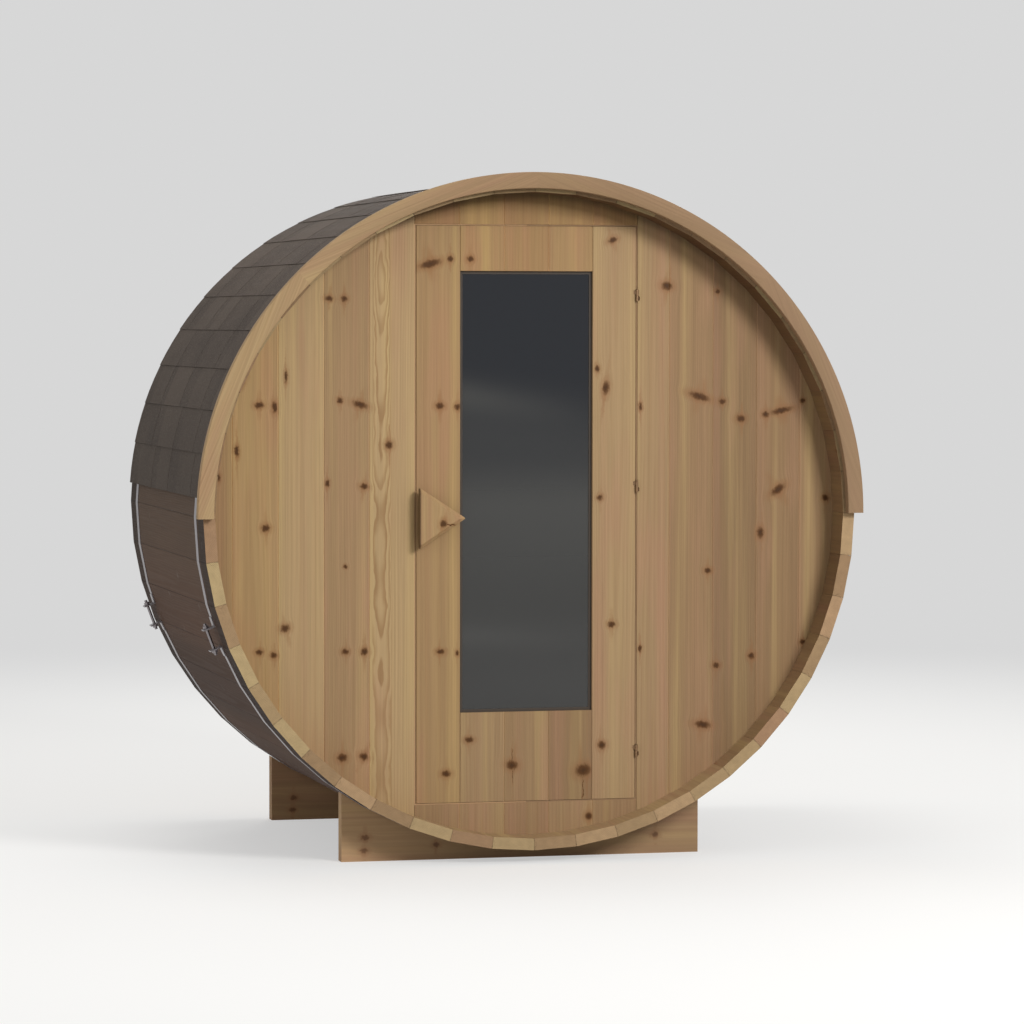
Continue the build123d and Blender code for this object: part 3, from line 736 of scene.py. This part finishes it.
# Operators, one for each group of pieces
class SaunaFrontWall(bpy.types.Operator):
    """Board the front wall with knotty softwood"""

    bl_idname = "sauna.front_wall"
    bl_label = "Front wall"

    def execute(self, context):
        wood = context.scene.sauna_wood
        cover = wood.board_cover
        left = [-DOORWAY_HALF - cover * place for place in (4, 3, 2, 1)]
        right = [DOORWAY_HALF + wood.ripped_width + cover * place for place in range(4)]
        short = [cover * place for place in (-1.5, -0.5, 0.5, 1.5)]
        short_piths = (-0.3, -0.17, 0.02, 0.13, 0.27)
        walls = {
            "front_wall_left": dict(
                edges=left, shares=(0.34, 0.60, 0.76, 0.31, 0.78),
                piths=(-1.03, -0.905, -0.72, -0.575, -0.479), knots=LEFT_KNOTS, seed=3,
                arches=(-0.512, -0.440), honeys=(0.5, 0.6, 0.1, 0.1, 0.1),
            ),
            "front_wall_right": dict(
                edges=right, shares=(0.35, 0.06, -0.13, -0.04, 0.12),
                piths=(0.43, 0.60, 0.662, 0.825, 0.99), knots=RIGHT_KNOTS, seed=11,
            ),
            # Over the door the honey tone is painted warm light thrown back into the shade under the trim
            "front_wall_over_door": dict(
                edges=short, shares=(0.1, 0.3, 0.2, 0.25, 0.15), piths=short_piths, knots=0.2, seed=23,
                honeys=(1.0, 1.0, 1.0, 1.0, 1.0),
            ),
            "front_wall_under_door": dict(
                edges=short, shares=(0.1, 0.2, 0.05, 0.2, 0.1), piths=short_piths, knots=0.2, seed=37,
            ),
        }
        for node, looks in walls.items():
            dress(node, board_finish(node, **looks))
        return {"FINISHED"}


class SaunaDoor(bpy.types.Operator):
    """Finish the door's boards and the laths behind it"""

    bl_idname = "sauna.door"
    bl_label = "Door"

    def execute(self, context):
        half = (PANE_RIGHT - PANE_LEFT) / 6
        short = dict(edges=(-half, half), piths=(-0.15, 0.01, 0.16))
        leaves = {
            "door_stile_left": dict(
                edges=(), shares=(0.34,), piths=(-0.31,), knots=STILE_LEFT_KNOTS, seed=5, honeys=(0.5,),
            ),
            "door_stile_right": dict(
                edges=(), shares=(0.50,), piths=(0.30,), knots=STILE_RIGHT_KNOTS, seed=7,
            ),
            "door_boards_over_glass": dict(
                shares=(0.45, 0.30, 0.33), knots=OVER_GLASS_KNOTS, seed=13, honeys=(0.8, 0.8, 0.6), **short,
            ),
            "door_boards_under_glass": dict(
                shares=(0.30, 0.12, -0.05), knots=UNDER_GLASS_KNOTS, seed=17, **short,
            ),
        }
        for node, looks in leaves.items():
            dress(node, board_finish(node, **looks))
        dress("door_stops", long_finish("lath_wood", "xyz", 41))
        dress("door_ledges", long_finish("ledge_wood", "zyx", 43))
        return {"FINISHED"}


class SaunaDoorSeal(bpy.types.Operator):
    """Line the doorway with a narrow draught strip that stops at the hinges"""

    bl_idname = "sauna.door_seal"
    bl_label = "Draught strip"

    def execute(self, context):
        fittings = context.scene.sauna_fittings
        inset, depth, room = 0.003, 0.005, 0.001
        strip = flat_frame(
            "draught_strip", -DOORWAY_HALF, DOORWAY_FOOT, DOORWAY_HALF, DOORWAY_TOP,
            WALL_FACE + inset, fittings.draught_strip,
        )
        barrels = zip(levels("hinge_barrels_wall"), levels("hinge_barrels_door"))
        gaps = [(wall_low - room, door_high + room) for (wall_low, _), (_, door_high) in barrels]
        for level in (level for gap in gaps for level in gap):
            bpy.ops.mesh.select_all(action="SELECT")
            bpy.ops.mesh.bisect(plane_co=(0, 0, level), plane_no=(0, 0, 1))
        edit(strip, lambda centre: centre.x > 0 and any(low < centre.z < high for low, high in gaps))
        bpy.ops.mesh.delete(type="FACE")
        bpy.ops.mesh.select_all(action="SELECT")
        extrude((0, depth, 0))
        outward(strip)
        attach(strip, "cabin")

        finish = new_finish("draught_strip")
        whole, x, _, _ = finish.position()
        weave = finish.noise(whole, (700, 700, 700))
        colour = finish.blend(weave, fittings.strip_dark, fittings.strip_pale)
        # Painted light makes the strip on the left side of the doorway paler
        finish.surface({
            "Base Color": finish.dim(colour, (x < 0) * 0.5 + 1),
            "Roughness": weave * 0.1 + 0.8,
        })
        dress(strip, finish)
        return {"FINISHED"}


class SaunaHandles(bpy.types.Operator):
    """Make the two three-cornered wooden handles on their spacers"""

    bl_idname = "sauna.handles"
    bl_label = "Handles"

    def execute(self, context):
        fittings = context.scene.sauna_fittings
        thick = fittings.handle_thick
        overlap, rounding = 0.001, 0.003
        for node, side, scale, knots in (
            ("door_handle_outer", -1, 1.0, HANDLE_KNOTS),
            ("door_handle_inner", 1, fittings.inner_scale, 0.0),
        ):
            low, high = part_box(node)
            face, root = (low.y, high.y) if side < 0 else (high.y, low.y)
            level = (low.z + high.z) / 2
            reach = fittings.handle_reach * scale
            height = fittings.handle_height * scale
            chamfer = fittings.handle_chamfer * scale

            # Plate with rounded corners, whose slanting edges are chamfered in front
            plate = primitive(
                bpy.ops.mesh.primitive_cylinder_add, node + "_plate",
                location=(low.x + reach / 3, face - side * (thick + chamfer) / 2, level),
                scale=(height / sqrt(3), reach / 1.5, thick - chamfer),
                rotation=(pi / 2, pi / 2, 0), vertices=3, radius=1, depth=1,
            )
            bevelled(plate, lambda *ends: abs(ends[0].y - ends[1].y) > thick / 2, fittings.handle_corner, 4)
            edit(plate, lambda centre: abs(centre.y - (face - side * chamfer)) < 0.0001)
            extrude((0, side * chamfer, 0))
            slant = sqrt(height ** 2 / 4 + reach ** 2)
            shrink = 1 - chamfer * slant / (reach * height / 2)
            bpy.ops.transform.resize(value=(shrink, 1, shrink), center_override=(low.x, face, level))
            bpy.ops.object.mode_set(mode="OBJECT")

            # Spacer, let a little into the plate
            stand = abs(root - face) - thick
            block = primitive(
                bpy.ops.mesh.primitive_cube_add, node + "_block", size=1,
                location=(low.x + reach * fittings.spacer_place, root + side * (stand + overlap) / 2, level),
                scale=(fittings.spacer_width * scale, stand + overlap, fittings.spacer_height * scale),
            )
            bevelled(block, lambda *ends: abs(ends[0].y - ends[1].y) > stand / 2, rounding, 2)

            handle = joined([plate, block], node.replace("door_", "wooden_"))
            outward(handle)
            bpy.ops.object.shade_smooth_by_angle(angle=radians(35))
            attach(handle, "door")
            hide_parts(node)
            # The upright side of each handle gets painted shade
            looks = dict(share=0.48, knots=knots, painted_shade_side=(low.x, 0.006), honey=0.5)
            dress(handle, long_finish(node, "xyz", 52, **looks))
        return {"FINISHED"}


class SaunaGlass(bpy.types.Operator):
    """Tint the glass with painted reflections and lay its dark seal"""

    bl_idname = "sauna.glass"
    bl_label = "Glass"

    def execute(self, context):
        fittings = context.scene.sauna_fittings
        finish = new_finish("smoked_glass")
        whole, x, _, z = finish.position()
        height = (z - GLASS_LOW.z) / (GLASS_HIGH.z - GLASS_LOW.z)
        # Painted reflection: dark and blue near the top, grey lower down, and darker again near the bottom
        share = height.ease(0.46, 0.59) * 0.56 + (height + x * 0.1).ease(0.60, 0.78) * 0.44
        reflection_fade = 1 - height.ease(0.47, 0.22) * 0.25 - height.ease(0.22, 0.10) * 0.40
        colour = finish.dim(finish.blend(share, fittings.glass_reflection_foot, fittings.glass_reflection_top), reflection_fade)
        # Two soft painted reflections, which slope a little and are stronger on the left
        painted_gleams = 0.0
        for middle, slope, half, strength in ((0.692, 0.10, 0.034, 0.75), (0.172, 0.04, 0.022, 0.60)):
            off = (height + x * slope - middle) / half
            painted_gleams = (off * off * -1).math("EXPONENT") * (0.5 - x * 2.3) * strength + painted_gleams
        haze = finish.noise(whole, (14, 14, 9), 3.0)
        finish.surface({
            "Base Color": finish.blend(painted_gleams, colour, fittings.glass_reflection_foot),
            "Roughness": haze * 0.05 + 0.03,
            "Transmission Weight": 0.35,
            "IOR": 1.5,
        })
        dress("door_glass", finish)

        seal_finish = new_finish("black_seal")
        grime = seal_finish.noise(seal_finish.position()[0], (60, 60, 60), 3.0)
        seal_finish.surface({
            "Base Color": seal_finish.blend(grime, fittings.seal_dark, fittings.seal_pale),
            "Roughness": grime * 0.2 + 0.55,
        })
        depth = 0.0025
        for name, face, side in (("seal_outer", GLASS_LOW.y, -1), ("seal_inner", GLASS_HIGH.y, 1)):
            seal = flat_frame(name, PANE_LEFT, PANE_FOOT, PANE_RIGHT, PANE_TOP, face, fittings.gasket)
            extrude((0, side * depth, 0))
            outward(seal)
            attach(seal, "door")
            dress(seal, seal_finish)
        return {"FINISHED"}


class SaunaStaves(bpy.types.Operator):
    """Stain the staves outside, and leave their ends and insides bare"""

    bl_idname = "sauna.staves"
    bl_label = "Staves"

    def execute(self, context):
        wood = context.scene.sauna_wood
        finish = new_finish("stave_wood")
        whole, x, y, z = finish.position()
        up = z - AXIS
        number, turn = (up.math("ARCTAN2", x) / STAVE_ANGLE).counted()
        joint = abs(turn)
        across = turn * STAVE_WIDTH
        deep = length_of(x, up) * (turn * STAVE_ANGLE).math("COSINE")
        lot = finish.lot(number, 61)
        first, second, third = lot.parts()
        knots = scattered_knots(finish, across, y, number, 0.55)
        bare, rough, height = wood_look(finish, across, FLAT - deep, y, lot, first * 0.6 + 0.2, knots)

        # Weathered stain on the outside, darker near the ends; painted light of the sky makes it paler and
        # greyer higher up, under the roof, and painted shade darkens a band low down
        length = abs(y - MIDDLE)
        painted_low_shade = z.ease(0.72, 0.62) * z.ease(0.36, 0.46) * 0.36
        rim = length.ease(HALF_LENGTH - DARK_RIM[0], HALF_LENGTH - DARK_RIM[1]) * 0.62
        grain = finish.noise(finish.vector(across, y, first * 9), (90, 3.0, 1), 3.0)
        patch = finish.noise(whole, (3.2, 1.6, 3.2), 3.0)
        stain = finish.blend(second * 0.35, wood.stain, wood.stain_red)
        stain = finish.blend(z.ease(0.7, 1.1) * 0.6, stain, wood.stain_sky_lit)
        stain = finish.dim(stain, grain * 0.34 + patch * 0.30 + first * 0.14 + 0.60)
        stain = finish.dim(stain, 1 - painted_low_shade)
        stain = finish.blend(0.16, stain, bare, "MULTIPLY")
        stain = finish.dim(stain, joint.ease(0.500, 0.478) * 0.4 + 0.6)
        stain = finish.dim(stain, 1 - rim)

        # Sawn ends with the arcs of the growth rings, pale and deep by turns, and painted shade under the
        # trim
        turns = (number * 0.5).math("FRACT") * 2
        ends = finish.blend(turns * 0.55 + first * 0.6 - 0.1, wood.end_deep, wood.end_pale)
        ends = finish.blend(third.ease(0.5, 1.0) * 0.5, ends, wood.warm)
        speck = finish.noise(whole, (330, 4, 330))
        smudge = finish.noise(whole, (40, 4, 40))
        rings = length_of(across - (second - 0.5) * 0.1, deep - FLAT + 0.03 + third * 0.12)
        arcs = (rings / wood.ring_spacing * 1.6).math("FRACT").ease(0.3, 0.9)
        painted_end_shade = z.ease(AXIS - 0.01, AXIS + 0.03) * (y < WALL_FACE)
        light = speck * 0.20 + smudge * 0.34 + joint.ease(0.500, 0.480) * 0.28 + 0.46
        ends = finish.dim(ends, light - arcs * 0.13 - painted_end_shade * 0.22)

        # Inside, the open front of the barrel lies in its own shade and in light from the wood
        shaded = (y < WALL_FACE) * (z.ease(0.35, 0.95) * 0.40 + z.ease(1.3, 1.9) * 0.28)
        bounce = finish.blend(z.ease(1.2, 1.9), BOUNCE_LOW, BOUNCE_HIGH)
        colour = finish.blend(shaded, finish.dim(bare, 1 - shaded), bounce, "MULTIPLY")
        outside = deep.ease(FLAT - 0.0016, FLAT - 0.0004)
        colour = finish.blend(outside, colour, stain)
        colour = finish.blend(length > HALF_LENGTH - 0.0006, colour, ends)
        plain_wood(finish, colour, rough + outside * 0.12, height + grain * outside)
        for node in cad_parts:
            if node.startswith("staves_"):
                dress(node, finish)
        return {"FINISHED"}


class SaunaBackWall(bpy.types.Operator):
    """Board the back wall"""

    bl_idname = "sauna.back_wall"
    bl_label = "Back wall"

    def execute(self, context):
        cover = context.scene.sauna_wood.board_cover
        boards = (-cover * 7.5, cover)
        finish = long_finish("back_boards", "xyz", 71, share=0.45, boards=boards, knots=0.6)
        for node in ("back_wall_left", "back_wall_middle", "back_wall_right"):
            dress(node, finish)
        return {"FINISHED"}


class SaunaFloor(bpy.types.Operator):
    """Finish the floor boards and bearers"""

    bl_idname = "sauna.floor"
    bl_label = "Floor and bearers"

    def execute(self, context):
        low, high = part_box("floor_boards")
        count, gap = 5, 0.008
        boards = (low.x, (high.x - low.x + gap) / count)
        dress("floor_boards", long_finish("floor_wood", "xzy", 83, boards=boards, knots=0.5))
        dress("floor_bearers", long_finish("bearer_wood", "zyx", 89, share=0.3, knots=0.5))
        return {"FINISHED"}


class SaunaCradles(bpy.types.Operator):
    """Finish the two cradles"""

    bl_idname = "sauna.cradles"
    bl_label = "Cradles"

    def execute(self, context):
        for node, seed, share, red in (
            ("cradle_front", 97, 0.40, 0.30),
            ("cradle_rear", 101, -0.1, 0.20),
        ):
            dress(node, long_finish(node, "zyx", seed, share, knots=CRADLE_KNOTS, red=red))
        return {"FINISHED"}


class SaunaSteel(bpy.types.Operator):
    """Finish the hoops, their lugs and screws, and the hinges"""

    bl_idname = "sauna.steel"
    bl_label = "Hoops and hinges"

    def execute(self, context):
        fittings = context.scene.sauna_fittings
        hoops = [part + end for part in ("hoop", "hoop_lugs", "tension_screw") for end in ("_front", "_rear")]
        hinges = ("hinge_barrels_wall", "hinge_barrels_door", "hinge_pins")
        for name, base, least_rough, nodes in (
            ("galvanised_steel", fittings.steel, 0.24, hoops),
            ("browned_steel", fittings.bronze, 0.33, hinges),
        ):
            finish = new_finish(name)
            whole = finish.position()[0]
            flake = finish.flakes(whole, 160.0)
            scratch = finish.noise(whole, (40, 900, 40))
            smear = finish.noise(whole, (9, 9, 9), 3.0)
            colour = finish.blend(smear * 0.4, base, fittings.steel_dull)
            finish.surface({
                "Base Color": finish.dim(colour, flake * 0.10 + scratch * 0.16 + 0.58),
                "Metallic": 1.0,
                "Roughness": smear * 0.2 + flake * 0.06 + least_rough,
                "Normal": finish.bump(scratch, 0.00004, 0.4),
            })
            for node in nodes:
                dress(node, finish)
        return {"FINISHED"}


def shingle_finish(name):
    """Mineral granules on bitumen, paler where the shade attribute is high."""
    roof = bpy.context.scene.sauna_roof
    finish = new_finish(name)
    whole, _, _, z = finish.position()
    shade = finish.node("ShaderNodeAttribute", {"attribute_name": "shade"}, output="Fac")
    grit = finish.flakes(whole, 420.0)
    coarse = finish.noise(whole, (150, 150, 150), 3.0, roughness=0.7)
    patch = finish.noise(whole, (5, 3, 5), 3.0)
    share = (grit * 0.5 + coarse * 0.5 + shade * 0.8 + (patch - 0.5) * 0.7 - 0.45).ease(-0.1, 0.9)
    colour = finish.blend(share, roof.shade, roof.granules)
    colour = finish.blend((grit > 0.93) * 0.4, colour, roof.spark)
    # Painted light: palest on the shoulders, and darker low down and at the ridge
    rise = z - AXIS
    light = rise.ease(0.10, 0.55) * 0.13 + rise.ease(0.62, 0.82) * 0.26 - rise.ease(0.88, 1.0) * 0.16
    finish.surface({
        "Base Color": finish.dim(colour, light + 0.86),
        "Roughness": coarse * 0.15 + 0.80,
        "Normal": finish.bump(grit * 0.6 + coarse, 0.0007, 0.6),
        "Specular IOR Level": 0.25,
    })
    return finish


class SaunaShingles(bpy.types.Operator):
    """Lay the two sides of the roof, course by course, with raised tabs on each strip"""

    bl_idname = "sauna.shingles"
    bl_label = "Shingles"

    def execute(self, context):
        roof = context.scene.sauna_roof
        finish = shingle_finish("shingle")
        course = roof.exposure
        thick = roof.sheet_thick
        least_tab = 0.02
        strip_shades, tab_shades = (0.40, 0.55), (0.45, 0.85)
        # A strip reaches under the next course, lies on the deck there and over two sheets at its foot
        head = course * 1.3
        rise = 2 * thick * head / course
        lean = rise / sin(head)
        foot = CORNER + roof.deck_gap + rise
        last_span = pi / 2 - roof.edge_angle - (roof.courses - 1) * course
        strip = swept("strip", 0, thick, foot, BACK - FRONT, 0, head, 4, lean)
        last_strip = swept("last_strip", 0, thick, foot, BACK - FRONT, 0, last_span, 4, lean)
        tab = swept("tab", thick, 1.5 * thick, foot, 1.0, 0, course * 1.06, 3, lean)
        for side, node in ((1, "roof_right"), (-1, "roof_left")):
            chance = random.Random(7 + side)
            pieces = []
            for place in range(roof.courses):
                turn = about_axis(place * course + roof.edge_angle)
                base = last_strip if place == roof.courses - 1 else strip
                slide = Matrix.Translation((0, FRONT, 0))
                pieces.append(copied(base, turn @ slide, chance.uniform(*strip_shades)))
                start = FRONT - chance.uniform(0.0, 0.1)
                while start < BACK:
                    width = chance.uniform(roof.tab_least, roof.tab_most)
                    low = max(start, FRONT)
                    high = min(start + width, BACK)
                    if high - low > least_tab:
                        slide = Matrix.Translation((0, low, 0))
                        stretch = Matrix.Diagonal((1, high - low, 1, 1))
                        pieces.append(copied(tab, turn @ slide @ stretch, chance.uniform(*tab_shades)))
                    start += width + chance.uniform(roof.gap_least, roof.gap_most)
            shingles = joined(pieces, "shingles_right" if side > 0 else "shingles_left")
            if side < 0:
                shingles.data.transform(Matrix.Scale(-1, 4, (1, 0, 0)))
                shingles.data.flip_normals()
            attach(shingles, "cabin")
            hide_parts(node)
            dress(shingles, finish)
        for piece in (strip, last_strip, tab):
            bpy.data.objects.remove(piece)
        return {"FINISHED"}


class SaunaRidge(bpy.types.Operator):
    """Lay the overlapping caps along the ridge"""

    bl_idname = "sauna.ridge"
    bl_label = "Ridge caps"

    def execute(self, context):
        roof = context.scene.sauna_roof
        _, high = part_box("roof_ridge")
        half, cap_shades = radians(4.5), (0.3, 1.0)
        # A cap's thickness, how far its underside lies under the top, and its rise over the cap below
        thick, drop, lift = 0.0022, 0.0075, 0.0025
        radius = high.z - AXIS - drop
        cap = swept("cap", 0, thick, radius, 1.0, pi / 2 - half, 2 * half, 6)
        count = max(1, round((BACK - FRONT) / roof.cap_length))
        step = (BACK - FRONT) / count
        tilt = Matrix.Rotation(radians(-0.62), 4, "X")
        down = Matrix.Translation((0, 0, lift - AXIS - radius))
        chance = random.Random(5)
        pieces = []
        for place in range(count):
            start = FRONT + place * step
            length = min(step * 1.5, BACK - start)
            slope = Matrix.Translation((0, start, AXIS + radius)) @ tilt @ down
            stretch = Matrix.Diagonal((1, length, 1, 1))
            pieces.append(copied(cap, slope @ stretch, chance.uniform(*cap_shades)))
        ridge = joined(pieces, "ridge_caps")
        bpy.data.objects.remove(cap)
        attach(ridge, "cabin")
        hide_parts("roof_ridge")
        dress(ridge, shingle_finish("ridge_shingle"))
        return {"FINISHED"}


class SaunaTrim(bpy.types.Operator):
    """Bend the board over the front ends of the staves"""

    bl_idname = "sauna.trim"
    bl_label = "Front trim"

    def execute(self, context):
        low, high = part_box("front_trim")
        outer = high.z - AXIS
        width, rounding = 0.052, 0.003
        trim = swept("curved_trim", outer - width, outer, 0, high.y - low.y, 0, pi, 120)
        trim.data.transform(Matrix.Translation((0, low.y, 0)))

        def on_front_rim(first, second):
            flat = max(first.y, second.y) < low.y + 0.0001
            radii = [sqrt(point.x ** 2 + (point.z - AXIS) ** 2) for point in (first, second)]
            return flat and abs(radii[0] - radii[1]) < 0.001

        bevelled(trim, on_front_rim, rounding, 3)
        bpy.ops.object.shade_smooth_by_angle(angle=radians(40))
        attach(trim, "cabin")
        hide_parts("front_trim")

        # Four bent lengths from end to end, whose grain follows the bend only in part
        finish = new_finish("trim_wood")
        _, x, y, z = finish.position()
        up = z - AXIS
        radius = length_of(x, up)
        span = pi / 4
        number, turn = (up.math("ARCTAN2", x) / span).counted()
        along = radius * (turn * span).math("SINE")
        across = radius * (turn * span).math("COSINE") - outer
        knots = scattered_knots(finish, across, along, number, 0.2)
        lot = finish.lot(number, 113)
        share = (x * -0.75 + lot.parts()[0] * 0.25).math("MAXIMUM", 0.0)
        colour, rough, height = wood_look(finish, across, y - low.y, along, lot, share, knots)
        colour = finish.blend(x * 0.38 + 0.42, colour, context.scene.sauna_wood.bent)
        streak = finish.noise(finish.vector(across, y, along), (230, 230, 3.2), 3.0)
        plain_wood(finish, finish.dim(colour, streak * 0.36 + 0.82), rough, height + streak)
        dress(trim, finish)
        return {"FINISHED"}


class SaunaStage(bpy.types.Operator):
    """Set the floor, the light and the camera"""

    bl_idname = "sauna.stage"
    bl_label = "Studio"

    def execute(self, context):
        scene = context.scene
        studio = scene.sauna_studio
        circle = dict(vertices=96, radius=160, fill_type="NGON")
        floor = primitive(bpy.ops.mesh.primitive_circle_add, "studio_floor", **circle)

        # The floor glows up to the backdrop's tone, and far from the cabin is nothing but backdrop
        finish = new_finish("studio_floor")
        direct, seen = finish.rays()
        _, x, y, _ = finish.position()
        far = length_of(x, y).ease(3.0, 9.0) * direct
        lift = studio.backdrop - studio.floor_tone[0] * studio.sky
        matte = finish.node("ShaderNodeBsdfDiffuse", {}, {"Color": (*studio.floor_tone, 1.0)})
        glow = finish.node("ShaderNodeEmission", {}, {"Color": WHITE, "Strength": seen * lift})
        near = finish.node("ShaderNodeAddShader", {}, {0: matte, 1: glow})
        plain = finish.node("ShaderNodeEmission", {}, {"Color": WHITE, "Strength": studio.backdrop})
        whole = finish.node("ShaderNodeMixShader", {}, {0: far, 1: near, 2: plain})
        finish.node("ShaderNodeOutputMaterial", {}, {"Surface": whole})
        dress(floor, finish)

        scene.world = bpy.data.worlds.new("studio")
        sky = Finish(scene.world)
        _, seen = sky.rays()
        strength = seen * (studio.backdrop - studio.sky) + studio.sky
        light = sky.node("ShaderNodeBackground", {}, {"Color": WHITE, "Strength": strength})
        sky.node("ShaderNodeOutputWorld", {}, {"Surface": light})

        target = Vector((0, -0.4, 1.1))
        for name, place, size, power in (
            ("key", (3.95, -8.7, 5.2), 2.6, studio.key_power),
            ("fill", (-7.5, -4.0, 3.4), 4.0, studio.fill_power),
            ("top", (-1.2, 1.2, 7.0), 3.0, studio.top_power),
            ("rear", (3.5, 10.0, 4.5), 4.0, studio.rear_power),
        ):
            lamp = bpy.data.lights.new(name, "AREA")
            lamp.size = size
            lamp.energy = power
            holder = bpy.data.objects.new(name, lamp)
            scene.collection.objects.link(holder)
            holder.location = place
            aim = target - Vector(place)
            holder.rotation_euler = aim.to_track_quat("-Z", "Y").to_euler()

        lens = bpy.data.cameras.new("camera")
        lens.lens = studio.lens
        lens.sensor_width = 36
        camera = bpy.data.objects.new("camera", lens)
        scene.collection.objects.link(camera)
        camera.location = studio.camera_place
        camera.rotation_euler = studio.camera_turn
        scene.camera = camera
        scene.view_settings.view_transform = "Standard"
        return {"FINISHED"}


STEPS = (
    SaunaStage, SaunaFrontWall, SaunaDoor, SaunaDoorSeal, SaunaHandles, SaunaGlass, SaunaStaves,
    SaunaBackWall, SaunaFloor, SaunaCradles, SaunaSteel, SaunaShingles, SaunaRidge, SaunaTrim,
)
GROUPS = {
    "sauna_wood": SaunaWood,
    "sauna_roof": SaunaRoof,
    "sauna_fittings": SaunaFittings,
    "sauna_studio": SaunaStudio,
}


class SaunaPanel(bpy.types.Panel):
    """The sauna's steps and settings"""

    bl_idname = "SAUNA_PT_panel"
    bl_label = "Barrel sauna"
    bl_space_type = "VIEW_3D"
    bl_region_type = "UI"
    bl_category = "Sauna"

    def draw(self, context):
        for step in STEPS:
            self.layout.operator(step.bl_idname)
        for name in GROUPS:
            group = getattr(context.scene, name)
            box = self.layout.box()
            for field in group.bl_rna.properties:
                if field.identifier not in ("rna_type", "name"):
                    box.prop(group, field.identifier)


def register():
    """Register the groups, the operators and the panel."""
    for name, group in GROUPS.items():
        bpy.utils.register_class(group)
        setattr(bpy.types.Scene, name, bpy.props.PointerProperty(type=group))
    for step in (*STEPS, SaunaPanel):
        bpy.utils.register_class(step)


def unregister():
    """Take everything out again."""
    for step in (SaunaPanel, *reversed(STEPS)):
        bpy.utils.unregister_class(step)
    for name, group in GROUPS.items():
        delattr(bpy.types.Scene, name)
        bpy.utils.unregister_class(group)


def main():
    """Build everything in order."""
    register()
    bpy.ops.sauna.stage()
    bpy.ops.sauna.front_wall()
    bpy.ops.sauna.door()
    bpy.ops.sauna.door_seal()
    bpy.ops.sauna.handles()
    bpy.ops.sauna.glass()
    bpy.ops.sauna.staves()
    bpy.ops.sauna.back_wall()
    bpy.ops.sauna.floor()
    bpy.ops.sauna.cradles()
    bpy.ops.sauna.steel()
    bpy.ops.sauna.shingles()
    bpy.ops.sauna.ridge()
    bpy.ops.sauna.trim()


if __name__ == "__main__":
    main()
